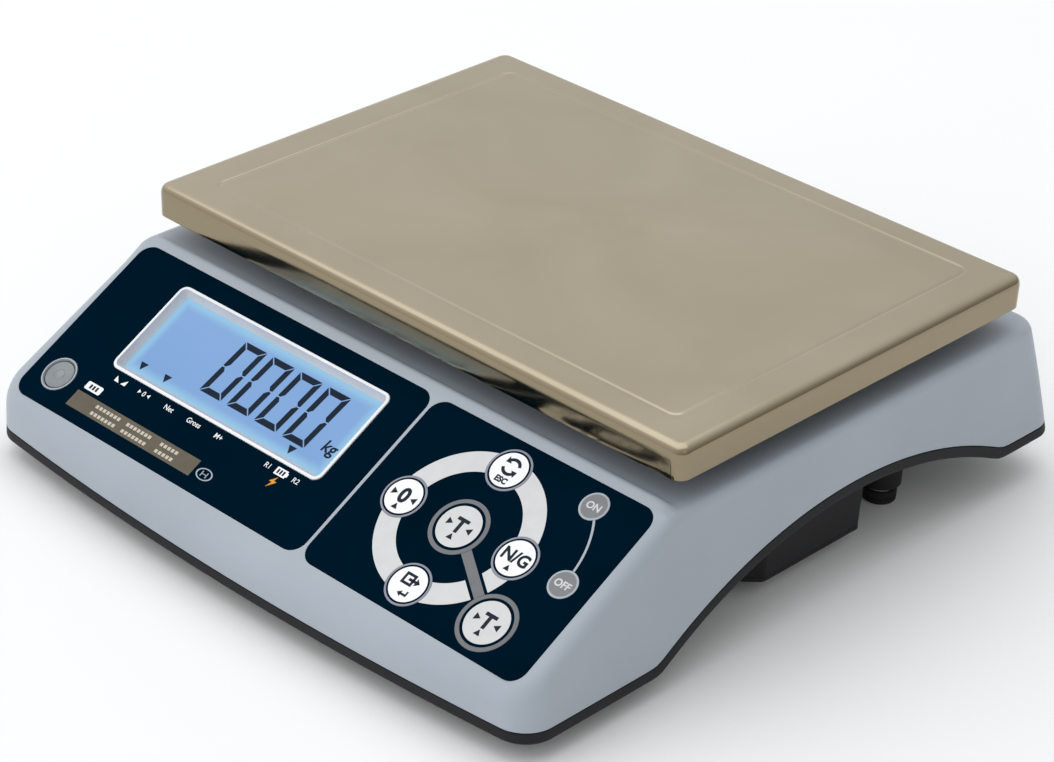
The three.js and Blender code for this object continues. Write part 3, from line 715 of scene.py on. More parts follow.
# Stainless steel, type 304, with a satin belt-brushed finish: a warm grey metal whose scratches run
# across the scale, so it blurs what it reflects, with faint cloudy marks from handling. Drawing leaves
# the skirt smoother. The skirt's colour is painted browner and darker than the top's, as painted shade
# for the dark panel and shadow it reflects. The scratches are drawn 0.5 mm apart so that they show.
brushed_steel, shader = surface("brushed_stainless_steel", "#B6AB94", Metallic=1.0)
where = node(brushed_steel, "TexCoord").outputs["Object"]
scratch_frame = node(brushed_steel, "Mapping", {"Vector": where, "Scale": (40, 2000, 2000)})
along_scratch = {"Vector": scratch_frame.outputs["Vector"], "Scale": 1.0, "Detail": 3.0}
scratches = node(brushed_steel, "TexNoise", along_scratch)
clouds = node(brushed_steel, "TexNoise", {"Vector": where, "Scale": 14.0, "Detail": 4.0, "Distortion": 0.6})
shades = node(brushed_steel, "MapRange", {"Value": clouds.outputs["Fac"], "From Min": 0.3, "From Max": 0.7})
top_tones = {"Factor": shades.outputs["Result"], "A": linear("#AAA08A"), "B": linear("#B2A893")}
tone = node(brushed_steel, "Mix", top_tones, data_type="RGBA")
height = node(brushed_steel, "SeparateXYZ", {"Vector": where}).outputs["Z"]
skirt_to_top = {"Value": height, "From Min": (pan_z1 - 2) / 1000, "From Max": (pan_z1 - 0.1) / 1000}
on_top = node(brushed_steel, "MapRange", skirt_to_top, interpolation_type="SMOOTHSTEP").outputs["Result"]
# Below the top's edge the colour is painted shade: a darker, browner tone for the skirt than for the top.
skirt_shade_and_top = {"Factor": on_top, "A": linear("#93876F"), "B": tone.outputs["Result"]}
drawn = node(brushed_steel, "Mix", skirt_shade_and_top, data_type="RGBA")
blur = node(brushed_steel, "MapRange", {"Value": scratches.outputs["Fac"], "To Min": 0.16, "To Max": 0.24})
polish = node(brushed_steel, "MapRange", {"Value": on_top, "To Min": 0.09, "To Max": blur.outputs["Result"]})
scratch_depth = 1.5e-6
fine = node(
    brushed_steel, "Bump", {"Height": scratches.outputs["Fac"], "Distance": scratch_depth, "Strength": 1.0}
)
feed(brushed_steel, shader, Base_Color=drawn.outputs["Result"], Roughness=polish.outputs["Result"])
feed(brushed_steel, shader, Normal=fine.outputs["Normal"])
piece("pan_sheet", [(pan_shell, brushed_steel)], "pan", "pan_steel", "weighing_pan")


# ---- Pan support ---------------------------------------------------------------------------------
# A die-cast aluminium cross on the free end of the load cell. Each arm is a channel that ends in a boss
# with a rubber pad.

tips = {quarter: middle("pan_pad_" + quarter)[:2] for quarter in quarters}
tip_x, tip_y = tips["rear_right"]
arm_turn = math.atan2(tip_y - cell_y, tip_x)
arm_reach = math.hypot(tip_x, tip_y - cell_y)


def across_pan(shape, turn):
    """A shape turned about the upright axis through the support's middle."""
    return turned_about(shape, Matrix.Translation((0, cell_y, 0)) @ Matrix.Rotation(turn, 4, "Z"))


arms, channels = [], []
for turn in (arm_turn, -arm_turn):
    arm = soft_prism(rectangle(-arm_reach, arm_reach, -9, 9), 2, rounded_levels(84, 93, 0.8, 0.8))
    arms.append(across_pan(arm, turn))
    for x0, x1 in ((-arm_reach + 17, -48), (48, arm_reach - 17)):
        channel = soft_prism(rectangle(x0, x1, -5.5, 5.5), 2, [(87, 0.5), (96, -0.4)])
        channels.append(across_pan(channel, turn))
hub = soft_prism(rectangle(-26, 26, cell_y - 70, cell_y + 30), 4, rounded_levels(80.8, 93, 0.8, 0.8))
hub_pocket = soft_prism(rectangle(-20, 20, cell_y - 34, cell_y + 24), 3, [(85, 0.5), (96, -0.4)])
bosses = [disc(x, y, 11, rounded_levels(82, 94.5, 0.8, 0.6)) for x, y in tips.values()]
stop_bosses = [disc(x, y, 7, rounded_levels(82, 93, 0.6, 0.6)) for x, y in stops]
bolt_places = [(0, cell_y - reach) for reach in cell_bolt_reach]
bolt_holes = drilled(bolt_places, 5.6, 88.6, 99) + drilled(bolt_places, 3.4, 70, 99)
pad_holes = drilled(tips.values(), 3.9, 87, 99)
cross = combined(combined(arms[0], [arms[1], hub], "UNION"), [*channels, hub_pocket])
cross = combined(combined(cross, [*bosses, *stop_bosses], "UNION"), [*bolt_holes, *pad_holes])
# Die-cast aluminium, shot-blasted: light grey metal with a coarse even sparkle and no direction.
cast_aluminium = finish(
    "die_cast_aluminium", "#B8BABC", ("#B0B2B5", "#BFC1C2"),
    patch_mm=18, grain_mm=0.9, grain_depth=0.05, rough=(0.42, 0.58), Metallic=1.0,
)
piece("pan_cross", [(cross, cast_aluminium)], "load_carrier", "cast_aluminium", "pan_support")
for quarter, (x, y) in tips.items():
    name = "pan_pad_" + quarter
    button = disc(x, y, 9, rounded_levels(94.8, 1000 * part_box(name)[1].z, 0.5, 0.8))
    cushion = combined(button, [disc(x, y, 3.5, [(88, 0.4), (96, 0)])], "UNION")
    piece("pad_" + quarter, [(cushion, foot_rubber)], "load_carrier", "foot_rubber", name)

# Socket-head bolts that clamp the load cell, and hexagon-head screws that stop the pan's arms when it
# is overloaded.
for end in ("pan_1", "pan_2", "base_1", "base_2"):
    name = "cell_bolt_" + end
    x, y, _ = middle(name)
    low, high = (1000 * corner.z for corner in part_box(name))
    if end.startswith("pan"):
        body, head_levels = "load_carrier", rounded_levels(high - 4, high, 0.2, 0.5)
        shank_levels = [(low, 0.5), (low + 0.5, 0), (high - 2, 0)]
        socket_levels = upright(high - 2.2, high + 1)
    else:
        body, head_levels = "base", rounded_levels(low, low + 4, 0.5, 0.2)
        shank_levels = [(low + 2, 0), (high, 0.5)]
        socket_levels = upright(low - 1, low + 2.2)
    bolt = combined(disc(x, y, 5, head_levels), [disc(x, y, 3, shank_levels)], "UNION")
    bolt = combined(bolt, [disc(x, y, 2.9, socket_levels, 6)])
    piece("socket_bolt_" + end, [(bolt, zinc_plate)], body, "zinc_steel", name)
for quarter, (x, y) in zip(quarters, stops):
    head = disc(x, y, 5, [(76.9, 0.3), (77.2, 0), (81, 0), (81.4, 0.4)], 6)
    stop_screw = combined(head, [disc(x, y, 3, [(58, 0.5), (58.5, 0), (78, 0)])], "UNION")
    name = "overload_stop_" + quarter
    piece("stop_screw_" + quarter, [(stop_screw, zinc_plate)], "base", "zinc_steel", name)


# ---- Display overlay -----------------------------------------------------------------------------
# A polycarbonate film with its colours screen-printed on it, laid in a pocket of the panel round the
# display.

film_top, ink_low, ink_top = 0.12, 0.06, 0.16


def panel_piece(name, parts, *where):
    """A piece whose shapes are drawn in the panel's own plane."""
    return piece(name, [(on_panel(shape), material) for shape, material in parts], *where)


def film_sheet(box, openings):
    """A film over a plan box, with round corners, a rounded edge and its openings cut."""
    sheet = soft_prism(grown(box), film_corner, rounded_levels(-0.7, film_top, 0, 0.12, 3))
    return combined(sheet, openings)


def printed(outline, low=ink_low, high=ink_top):
    """A thin layer of ink on any plan outline, concave ones too."""
    outline = np.array(outline, float)
    count = len(outline)
    x, y = outline.T
    area = np.sum(x * np.roll(y, -1) - np.roll(x, -1) * y)
    ring = outline if area > 0 else outline[::-1]
    points = np.concatenate([np.c_[ring, np.full(count, z)] for z in (low, high)])
    faces = quads(2, count, wrap=True).tolist() + [list(range(count))[::-1], list(range(count, 2 * count))]
    return points, faces


def letters(text, x, y, height, low=ink_low, high=ink_top, bold=0.0, lean=0.0):
    """Plain sans-serif letters, centred on a point; height is that of a capital."""
    curve = bpy.data.curves.new("letters", "FONT")
    curve.body, curve.align_x, curve.size = text, "CENTER", height / 0.72
    curve.extrude, curve.offset, curve.shear, curve.resolution_u = (high - low) / 2, bold, lean, 4
    made = bpy.data.objects.new("letters", curve)
    scene.collection.objects.link(made)
    mesh = made.evaluated_get(bpy.context.evaluated_depsgraph_get()).to_mesh()
    points = np.array([v.co for v in mesh.vertices])
    faces = [list(p.vertices) for p in mesh.polygons]
    bpy.data.objects.remove(made)
    bpy.data.curves.remove(curve)
    return points + (x, y - height / 2, (low + high) / 2), faces


def arc(x, y, radius, start, end, count=48):
    """Points on a circle from one angle to another, in degrees."""
    angles = np.radians(np.linspace(start, end, count))
    return np.stack([x + radius * np.cos(angles), y + radius * np.sin(angles)], 1)


def band(x, y, inner, outer, start, end, count=48):
    """The outline of a stretch of a ring."""
    return np.concatenate([arc(x, y, outer, start, end, count), arc(x, y, inner, end, start, count)])


def ring_print(x, y, inner, outer, low=ink_low, high=ink_top):
    """A whole ring of ink, as a disc less a disc."""
    hole = disc(x, y, inner, upright(low - 1, high + 1), 72)
    return combined(disc(x, y, outer, upright(low, high), 72), [hole])


def triangle(x, y, size, turn):
    """A triangle that points along an angle in degrees."""
    return arc(x, y, size, turn, turn + 240, 3)


def soft_plan(corners, radius):
    """A rounded outline, from the foot of a soft prism."""
    points, _ = soft_prism(corners, radius, [(0, 0)], 4)
    return points[:, :2]


def box_print(x, y, width, height, **heights):
    """An upright rectangle of ink, centred on a point."""
    return printed(rectangle(x - width / 2, x + width / 2, y - height / 2, y + height / 2), **heights)


legend_y, legend_height = -60.6, 2.5
window_opening = soft_prism(grown(display, 0.3), display_corner + 0.3, upright(-5, 5))
level_opening = disc(level_x, level_y, 8.7, upright(-5, 5))
display_sheet = film_sheet(display_film, [window_opening, level_opening])
legends = (
    ("Net", -74.4, 0.03),
    ("Gross", -58.6, 0.03),
    ("M+", -43.2, 0.03),
    ("R1", -12.9, 0),
    ("R2", 3.6, 0),
    ("0", -90.4, 0.03),
)
white_marks = [
    *(letters(text, x, legend_y, legend_height, bold=bold) for text, x, bold in legends),
    printed(triangle(-93.4, legend_y, 1.1, 0)),
    printed(triangle(-87.4, legend_y, 1.1, 180)),
    printed([(-108.6, legend_y + 1.4), (-108.6, legend_y - 1.4), (-105.8, legend_y - 1.4)]),
    printed([(-104.6, legend_y - 1.4), (-101.8, legend_y - 1.4), (-101.8, legend_y + 1.4)]),
    box_print(-5.2, legend_y, 6.2, 3.6),
    box_print(-1.7, legend_y, 0.8, 1.8),
    printed(soft_plan(rectangle(-118.8, -109.2, -71.4, -67.4), 0.8)),
]
over_ink = dict(low=0.1, high=0.19)
cell_marks = [box_print(x, legend_y, 1, 2.2, **over_ink) for x in (-6.8, -5.2, -3.6)]
cell_marks += [box_print(x, -69.4, 1.2, 2.2, **over_ink) for x in (-115.9, -114, -112.1)]
strip = printed(rectangle(-120.2, -41.4, -81.5, -73.2))
# The strip's two rows of small print are drawn as plain dashes, and say nothing.
dash_size, dash_pitch, dash_groups = 1.6, 2.3, ((-105, 7), (-85.2, 7), (-63.6, 5))
dash_x = np.concatenate([start + np.arange(count) * dash_pitch for start, count in dash_groups])
dashes = [box_print(x, y, dash_size, dash_size, **over_ink) for y in (-75.7, -79.3) for x in dash_x]
oval_bars = [box_print(-0.9, 0, 0.3, 2.6), box_print(0.9, 0, 0.3, 2.6), box_print(0, 0, 1.8, 0.3)]
oval = turned_about(
    together([ring_print(0, 0, 2.35, 2.8), *oval_bars]),
    Matrix.Translation((-35.2, -77.6, 0)) @ Matrix.Diagonal((1.6, 1, 1, 1)),
)
charge_mark = printed([(-4.4, -62.9), (-7.2, -66), (-5.6, -66), (-6.8, -69), (-3.4, -65.2), (-5.1, -65.2)])

# Printed polycarbonate film: the ink lies under a satin hard coat, which gives a low even sheen and no
# grain to see.
navy_ink = finish(
    "printed_film_navy", "#001625", ("#001524", "#001828"),
    patch_mm=40, grain_mm=0.8, grain_depth=0.002, rough=(0.4, 0.48), IOR=1.58, Specular_IOR_Level=0.0,
)


def ink(name, colour):
    """Screen-printing ink: flat and opaque, with a faint unevenness where the mesh laid it down."""
    levels = [int(colour[i : i + 2], 16) for i in (1, 3, 5)]
    near = ["#" + "".join(f"{min(255, level + change):02X}" for level in levels) for change in (-3, 2)]
    return finish(
        "screen_ink_" + name, colour, near,
        patch_mm=5, grain_mm=0.5, grain_depth=0.002, rough=(0.4, 0.5), IOR=1.5, Specular_IOR_Level=0.15,
    )


white_ink = ink("white", "#F4F5F7")
light_ink = ink("light_grey", "#D2D3D4")
grey_ink = ink("mid_grey", "#74767A")
taupe_ink = ink("taupe", "#635C4F")
cream_ink = ink("cream", "#C4BFAF")
amber_ink = ink("amber", "#DE9A30")
steel_ink = ink("blue_grey", "#8F93A1")
dark_ink = ink("dark_blue", "#12202F")
legend_ink = ink("legend", "#ABB2BA")
dull_ink = ink("dull_grey", "#7F8386")
film_parts = [
    (display_sheet, navy_ink),
    (together(white_marks), white_ink),
    (together(cell_marks), dark_ink),
    (strip, taupe_ink),
    (together(dashes), cream_ink),
    (oval, legend_ink),
    (charge_mark, amber_ink),
]
panel_piece("display_film", film_parts, "base", "overlay_film", "display_overlay")


# ---- Keypad overlay ------------------------------------------------------------------------------
# The same film over the keys, with an opening for each. A broken light ring is printed round the middle
# tare key, a grey bar joins the two tare keys, and a thin arc joins on and off.

ring_inner, ring_outer, bar_width, bar_margin = 26, 35.7, 4.4, 1.3
tare_x, tare_y, _ = key_places["tare_centre"]
lower_x, lower_y, _ = key_places["tare_lower"]
bar_turn = math.degrees(math.atan2(lower_y - tare_y, lower_x - tare_x))
bar_reach = math.hypot(lower_x - tare_x, lower_y - tare_y)
key_openings = [disc(x, y, radius + 0.12, upright(-5, 5), 72) for x, y, radius in key_places.values()]
gap_half = bar_width / 2 + bar_margin
gap_inner, gap_outer = (math.degrees(math.asin(gap_half / radius)) for radius in (ring_inner, ring_outer))
outer_arc = arc(tare_x, tare_y, ring_outer, bar_turn + gap_outer, bar_turn + 360 - gap_outer, 160)
inner_arc = arc(tare_x, tare_y, ring_inner, bar_turn + 360 - gap_inner, bar_turn + gap_inner, 120)
ring_outline = np.concatenate([outer_arc, inner_arc])
light_ring = combined(printed(ring_outline), key_openings)
bar = turned_about(
    printed(rectangle(0, bar_reach, -bar_width / 2, bar_width / 2)),
    Matrix.Translation((tare_x, tare_y, 0)) @ Matrix.Rotation(math.radians(bar_turn), 4, "Z"),
)
bar = combined(bar, key_openings)
on_x, on_y, _ = key_places["on"]
off_x, off_y, _ = key_places["off"]
chord, sagitta, line_half = math.hypot(off_x - on_x, off_y - on_y), 3.8, 0.5
link_radius = chord**2 / (8 * sagitta) + sagitta / 2
away_x, away_y = -(off_y - on_y) / chord, (off_x - on_x) / chord
link_x = (on_x + off_x) / 2 - away_x * (link_radius - sagitta)
link_y = (on_y + off_y) / 2 - away_y * (link_radius - sagitta)
link_start = math.degrees(math.atan2(off_y - link_y, off_x - link_x))
link_end = math.degrees(math.atan2(on_y - link_y, on_x - link_x))
link = printed(band(link_x, link_y, link_radius - line_half, link_radius + line_half, link_start, link_end))
film_parts = [
    (film_sheet(keypad_film, key_openings), navy_ink),
    (light_ring, light_ink),
    (bar, grey_ink),
    (combined(link, key_openings), legend_ink),
]
panel_piece("keypad_film", film_parts, "base", "overlay_film", "keypad_overlay")


# ---- Keys ----------------------------------------------------------------------------------------
# Eight round moulded keys, a hair proud of the film, each on a stem that presses a switch. A disc and
# its sign are printed on each, and a dark ring on all but the on and off keys.

cap_top, disc_low, disc_high, mark_low, mark_high = 0.25, 0.2, 0.29, 0.26, 0.33


def sign(text, x, y, height, bold=0.06):
    """Letters in a key's sign, centred on a point."""
    return letters(text, x, y, height, mark_low, mark_high, bold)


def mark(outline):
    """A flat mark in a key's sign."""
    return printed(outline, mark_low, mark_high)


def moved(outline, x, y):
    """An outline carried to a place on the panel."""
    return np.array(outline) + (x, y)


def arrowed_arc(x, y, radius, start, end, half=0.7):
    """A stretch of a ring with an arrow head at its far end, anticlockwise."""
    tip, head_length, head_half = math.radians(end), 2.2, 1.8
    outward, heading = np.array([(math.cos(tip), math.sin(tip)), (-math.sin(tip), math.cos(tip))])
    neck = (x, y) + radius * outward
    head = [neck + head_length * heading, neck + head_half * outward, neck - head_half * outward]
    return [mark(band(x, y, radius - half, radius + half, start, end, 16)), mark(head)]


def signs_of(name, x, y):
    """The shapes printed on a key: turning arrows, words, or a letter among triangles."""
    if name == "escape":
        turns = [arrowed_arc(x, y + 1.5, 3.5, start, start + 112) for start in (20, 200)]
        return [*turns[0], *turns[1], sign("ESC", x, y - 5, 2.6, 0.18)]
    if name == "net_gross":
        return [sign("N/G", x, y + 0.6, 5.4, 0.26), mark(triangle(x - 0.2, y - 5.2, 1.7, 90))]
    if name == "print":
        sheet, inner = rectangle(-4, 1.6, -0.6, 4.8), rectangle(-2.8, 0.4, 0.6, 3.6)
        frame_mark = combined(mark(moved(sheet, x, y)), [printed(moved(inner, x, y), 0, 1)])
        arrow = [(-1.2, 1.5), (2.4, 1.5), (2.4, 0.3), (4.6, 2.1), (2.4, 3.9), (2.4, 2.7), (-1.2, 2.7)]
        enter = [(-1.8, -4.6), (0.2, -3.2), (0.2, -4.1), (2.2, -4.1), (2.2, -2.6), (3, -2.6)]
        enter += [(3, -5.1), (0.2, -5.1), (0.2, -6)]
        return [frame_mark, mark(moved(arrow, x, y)), mark(moved(enter, x, y))]
    if name in ("on", "off"):
        return [sign(name.upper(), x, y, 3.2, 0.12)]
    letter, size = ("0", 6.8) if name == "zero" else ("T", 6.7)
    sides = [mark(triangle(x + side * 5.4, y + 0.2, 1.9, 90 + side * 90)) for side in (-1, 1)]
    return [sign(letter, x, y + 0.7, size, 0.38), *sides, mark(triangle(x - 0.3, y - 5.4, 1.8, 90))]


for name, (x, y, radius) in key_places.items():
    cap = disc(x, y, radius, rounded_levels(-0.4, cap_top, 0.1, 0.12, 3), 72)
    cap = combined(cap, [disc(x, y, 2.2, [(-5.9, 0.3), (-5.5, 0), (-0.3, 0)], 24)], "UNION")
    if name in ("on", "off"):
        slot, cap_ink, face_ink, sign_ink = "dark_key", legend_ink, dull_ink, light_ink
        face, ring_edge = radius - 0.9, None
    elif name.startswith("tare"):
        slot, cap_ink, face_ink, sign_ink = "grey_key", grey_ink, light_ink, dark_ink
        face, ring_edge = 9.7, 11
    else:
        slot, cap_ink, face_ink, sign_ink = "white_key", steel_ink, white_ink, dark_ink
        face, ring_edge = radius - 1.75, radius - 0.9
    parts = [(cap, cap_ink)]
    if ring_edge:
        parts.append((ring_print(x, y, face, ring_edge, disc_low, disc_high), navy_ink))
    parts.append((disc(x, y, face, upright(disc_low, disc_high), 72), face_ink))
    parts.append((together(signs_of(name, x, y)), sign_ink))
    panel_piece("keycap_" + name, parts, "key_" + name, slot, "key_" + name)


# ---- Display -------------------------------------------------------------------------------------
# A white moulded bezel with sloped inner sides, and behind it a positive liquid crystal cell lit blue
# from its edges.

display_box = grown(display)
glass_z = -3.0
flange = soft_prism(display_box, display_corner, rounded_levels(-0.6, 0.5, 0, 0.35))
slopes = soft_prism(display_box, display_corner, [(-4, 3.95), (-2.7, 3.6), (0.2, 1.4), (1.2, 1.3)])
rim = combined(flange, [soft_prism(display_box, display_corner, [(-1, 1.35), (1, 1.35)])])
funnel = combined(soft_prism(display_box, display_corner, [(-2.7, 0.8), (0.3, 0.8)]), [slopes])
# White ABS from a polished mould: bright and clean, with a soft gloss.
bezel_abs = finish(
    "moulded_abs_white", "#E9EBF0", ("#E7E9EE", "#ECEEF2"),
    patch_mm=20, grain_mm=0.5, grain_depth=0.003, rough=(0.3, 0.38), IOR=1.53, Specular_IOR_Level=0.45,
)
# Its sloped inside is left a little duller than the polished rim, and painted greyer as painted shade on the
# slopes.
funnel_shaded_abs = finish(
    "moulded_abs_painted_shade_grey", "#C6CAD2", ("#C2C6CE", "#CACED6"),
    patch_mm=20, grain_mm=0.5, grain_depth=0.003, rough=(0.4, 0.5), IOR=1.53, Specular_IOR_Level=0.35,
)
panel_piece("display_bezel", [(rim, bezel_abs), (funnel, funnel_shaded_abs)], "base", "bezel_plastic", "lcd_bezel")

glass = soft_prism(display_box, display_corner, [(-4.8, 1), (glass_z - 0.1, 1), (glass_z, 1.1)])
# The cell under its polariser: it glows mid blue, paler and greener towards the edges where the light
# comes in.
lit_cell, shader = surface(
    "backlit_polariser_blue", "#182C46", Roughness=0.12, IOR=1.5, Specular_IOR_Level=0.25
)
display_middle = ((display["x0"] + display["x1"]) / 2, (display["y0"] + display["y1"]) / 2, 0)
centre = (panel_frame @ Matrix.Translation(display_middle)).translation / 1000
where = node(lit_cell, "TexCoord").outputs["Object"]
shifted = node(lit_cell, "Mapping", {"Vector": where, "Location": -centre})
turn_back = {"Vector": shifted.outputs["Vector"], "Rotation": (-panel_slope, 0, 0)}
turned_back = node(lit_cell, "Mapping", turn_back)
split = node(lit_cell, "SeparateXYZ", {"Vector": turned_back.outputs["Vector"]})
sides, glass_edge = [], 0.0036
for axis, low, high in (("X", "x0", "x1"), ("Y", "y0", "y1")):
    half = (display[high] - display[low]) / 2000 - glass_edge
    size = node(lit_cell, "Math", {0: split.outputs[axis]}, operation="ABSOLUTE")
    sides.append(node(lit_cell, "Math", {0: half, 1: size.outputs[0]}, operation="SUBTRACT").outputs[0])
near = node(lit_cell, "Math", {0: sides[0], 1: sides[1]}, operation="MINIMUM")
reach = {"Value": near.outputs[0], "From Min": 0.0, "From Max": 0.0055, "To Min": 0.75, "To Max": 0.0}
edge_light = node(lit_cell, "MapRange", reach, interpolation_type="SMOOTHSTEP")
drift = node(lit_cell, "TexNoise", {"Vector": where, "Scale": 22.0, "Detail": 1.0})
blues = {"Factor": drift.outputs["Fac"], "A": linear("#7CA8DF"), "B": linear("#8DB6E8")}
body_tone = node(lit_cell, "Mix", blues, data_type="RGBA").outputs["Result"]
to_edge = {"Factor": edge_light.outputs["Result"], "A": body_tone, "B": linear("#A4DBF3")}
glow = node(lit_cell, "Mix", to_edge, data_type="RGBA")
shader.inputs["Emission Strength"].default_value = 0.8
ripple = node(lit_cell, "TexNoise", {"Vector": where, "Scale": 900.0})
shine = node(lit_cell, "MapRange", {"Value": ripple.outputs["Fac"], "To Min": 0.1, "To Max": 0.18})
feed(lit_cell, shader, Emission_Color=glow.outputs["Result"], Roughness=shine.outputs["Result"])
# The cell's dark segments: a blue-black with the same gloss as the glass over them.
segment_dark = finish(
    "crystal_segment_dark", "#07192B", ("#061728", "#091D31"),
    patch_mm=12, grain_mm=1, grain_depth=0.001, rough=(0.2, 0.3), IOR=1.5, Specular_IOR_Level=0.1,
)

digit_width, digit_height, stroke = 13.4, 28.6, 2.9
joint_gap, slant = 0.4, 0.06
digit_pitch, first_digit_x, digit_y = 17, -64.5, -31.7
lcd_low, lcd_high = glass_z - 0.1, glass_z + 0.04


def zero(centre_x, centre_y):
    """The six outer bars of a seven-bar digit, mitred at its corners and pointed half way up, with the
    middle bar off."""
    x1, y1, gap = digit_width / 2, digit_height / 2, joint_gap
    x0, y0, middle = x1 - stroke, y1 - stroke, stroke / 2
    level = [(-x1 + gap, y1), (x1 - gap, y1), (x0 - gap, y0), (-x0 + gap, y0)]
    upright = [(x1, y1 - gap), (x1, gap), (x0 + middle, gap / 2), (x0, middle + gap), (x0, y0 - gap)]
    bars = [[(p, side * q) for p, q in level] for side in (1, -1)]
    bars += [[(a * p, b * q) for p, q in upright] for a in (1, -1) for b in (1, -1)]
    leaned = [[(p + slant * q + centre_x, q + centre_y) for p, q in bar] for bar in bars]
    return [printed(bar, lcd_low, lcd_high) for bar in leaned]


digits = [shape for k in range(4) for shape in zero(first_digit_x + k * digit_pitch, digit_y)]
unit = letters("kg", 2.7, -40, 5.8, lcd_low, lcd_high + 0.02, bold=0.16, lean=0.12)
pointer_places = ((-105, -48.7), (-90, -48.5), (-12.2, -48.7))
pointers = [printed(triangle(x, y, 2.6, 270), lcd_low, lcd_high) for x, y in pointer_places]
segments = together([*digits, unit, *pointers])
panel_piece("display_cell", [(glass, lit_cell), (segments, segment_dark)], "base", "lcd_glass", "lcd_glass")


# ---- Bubble level --------------------------------------------------------------------------------
# A grey plastic collar with a lighter line, pressed into the film, round a small vial: a clear window
# over pale liquid, with a circle printed on it and a bubble under it.

level_ring = disc(level_x, level_y, 8.4, rounded_levels(-0.6, 0.3, 0, 0.3), 72)
level_ring = combined(level_ring, [disc(level_x, level_y, 7.2, [(-2, 0), (-0.2, 0), (0.4, -0.5)], 72)])
level_edge = ring_print(level_x, level_y, 7.75, 8.35, 0.2, 0.34)
# Pale grey acetal for the collar, with a lighter line round it.
collar_grey = finish(
    "moulded_acetal_grey", "#7D8388", ("#7A8085", "#82888D"),
    patch_mm=6, grain_mm=0.5, grain_depth=0.003, rough=(0.3, 0.45), IOR=1.48, Specular_IOR_Level=0.4,
)
level_parts = [(level_ring, collar_grey), (level_edge, legend_ink)]
panel_piece("level_collar", level_parts, "base", "bezel_plastic", "level_ring")
vial = disc(level_x, level_y, 6.9, rounded_levels(-8, -0.05, 0.4, 0.5), 72)
target = ring_print(level_x, level_y, 2.5, 2.7, -0.1, -0.03)
bubble_radius, bubble_rise = 1.9, 0.35
bubble_levels = [
    (-0.1 + bubble_rise * math.sin(angle), bubble_radius * (1 - math.cos(angle)))
    for angle in np.linspace(0, 1.2, 6)
]
bubble = disc(level_x + 0.5, level_y + 0.6, bubble_radius, bubble_levels, 32)
# Acrylic over a pale liquid: a glossy blue-grey with faint clouds.
liquid = finish(
    "acrylic_vial_grey", "#8F959A", ("#7B8186", "#868C91"),
    patch_mm=6, grain_mm=1.5, grain_depth=0.002, rough=(0.08, 0.16), IOR=1.49, Specular_IOR_Level=0.5,
)
# The bubble under it: a paler, glassier spot.
bubble_air = finish(
    "vial_bubble", "#A2A8AD", ("#8A9095", "#92989D"),
    patch_mm=2, grain_mm=0.8, grain_depth=0.001, rough=(0.05, 0.1), IOR=1.3, Specular_IOR_Level=0.6,
)
vial_parts = [(vial, liquid), (target, grey_ink), (bubble, bubble_air)]
panel_piece("level_capsule", vial_parts, "base", "level_window", "level_vial")


# ---- Inside parts --------------------------------------------------------------------------------
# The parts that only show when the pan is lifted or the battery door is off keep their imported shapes
# and get finishes.


def refinished(material, *names):
    """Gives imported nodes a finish, in every slot they have."""
    for name in names:
        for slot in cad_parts[name].material_slots:
            slot.material = material


# Machined aluminium: a bright metal whose gloss is broken by the cutter's fine marks.
milled = finish(
    "milled_aluminium", "#C3C6C9", ("#BEC1C5", "#C9CBCD"),
    patch_mm=25, grain_mm=0.5, grain_depth=0.01, rough=(0.26, 0.4), Metallic=1.0,
)
# Glass-fibre board under green solder resist: a glossy deep green in which the weave barely shows.
green_board = finish(
    "solder_resist_green", "#1F5A3A", ("#1B5335", "#246341"),
    patch_mm=5, grain_mm=0.6, grain_depth=0.004, rough=(0.25, 0.4), IOR=1.55, Specular_IOR_Level=0.5,
)
# The battery's ABS case: dark grey with a coarse moulded grain.
case_abs = finish(
    "moulded_battery_case", "#3B3E42", ("#36393D", "#42454A"),
    patch_mm=25, grain_mm=1.0, grain_depth=0.03, rough=(0.45, 0.6), IOR=1.53, Specular_IOR_Level=0.4,
)
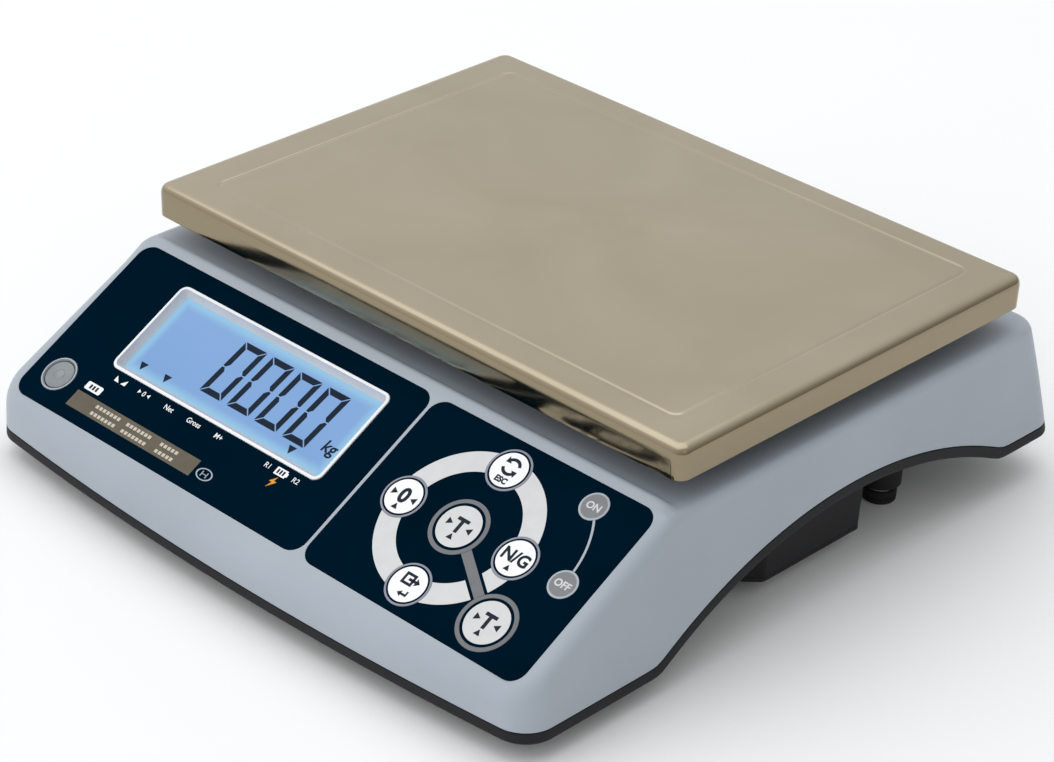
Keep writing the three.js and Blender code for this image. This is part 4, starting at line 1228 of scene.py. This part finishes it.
# The light panel behind the display: milky acrylic, smooth and bright.
milky = finish(
    "diffuser_acrylic", "#E8EEF2", ("#E2E9EE", "#EFF3F6"),
    patch_mm=15, grain_mm=0.6, grain_depth=0.003, rough=(0.35, 0.5), IOR=1.49, Specular_IOR_Level=0.4,
)

refinished(milled, "load_cell", "cell_spacer_pan", "cell_spacer_base")
refinished(green_board, "display_board", "keypad_board", "main_board")
refinished(case_abs, "battery")
refinished(milky, "lcd_backlight")
refinished(black_nylon, *("switch_" + name for name in key_places))


# ---- Light and floor -----------------------------------------------------------------------------
# A pale floor under a broad overhead softbox, with a larger one low on the operator's left and a small
# weak one on the right. The left one is kept out of reflections, so that it draws no bright line along
# the pan's front edge.

scene.view_settings.view_transform = "Standard"
world = bpy.data.worlds.new("studio")
scene.world = world
world.use_nodes = True
background = world.node_tree.nodes["Background"]
background.inputs["Color"].default_value = (1, 1, 1, 1)
# The studio is brightest up to the left and darkest low down to the right.
bright_side = Vector((-0.75, -0.2, 0.6)).normalized()
direction = node(world, "TexCoord").outputs["Generated"]
facing = node(world, "VectorMath", {0: direction, 1: bright_side}, operation="DOT_PRODUCT")
dimmer = {"Value": facing.outputs["Value"], "From Min": -1, "To Min": 0.3, "To Max": 1.02}
feed(world, background, Strength=node(world, "MapRange", dimmer).outputs["Result"])
for name, place, size, power in (
    ("overhead", (-0.3, 0.1, 1.7), 2.2, 9),
    ("left_fill", (-1.3, -2.4, 0.9), 2.8, 18),
    ("right_fill", (1.6, -0.4, 0.9), 1.0, 0.6),
):
    lamp = bpy.data.lights.new(name, "AREA")
    lamp.size, lamp.energy = size, power
    holder = bpy.data.objects.new(name, lamp)
    holder.location = place
    holder.visible_glossy = name != "left_fill"
    holder.rotation_euler = (Vector((0, 0, 0.05)) - Vector(place)).to_track_quat("-Z", "Y").to_euler()
    scene.collection.objects.link(holder)
floor_mesh = bpy.data.meshes.new("floor")
floor_mesh.from_pydata([(-6, -6, 0), (6, -6, 0), (6, 6, 0), (-6, 6, 0)], [], [(0, 1, 2, 3)])
floor = bpy.data.objects.new("floor", floor_mesh)
scene.collection.objects.link(floor)
paper, shader = surface("matt_paper", "#F8F9FA", Roughness=0.9)
floor.data.materials.append(paper)
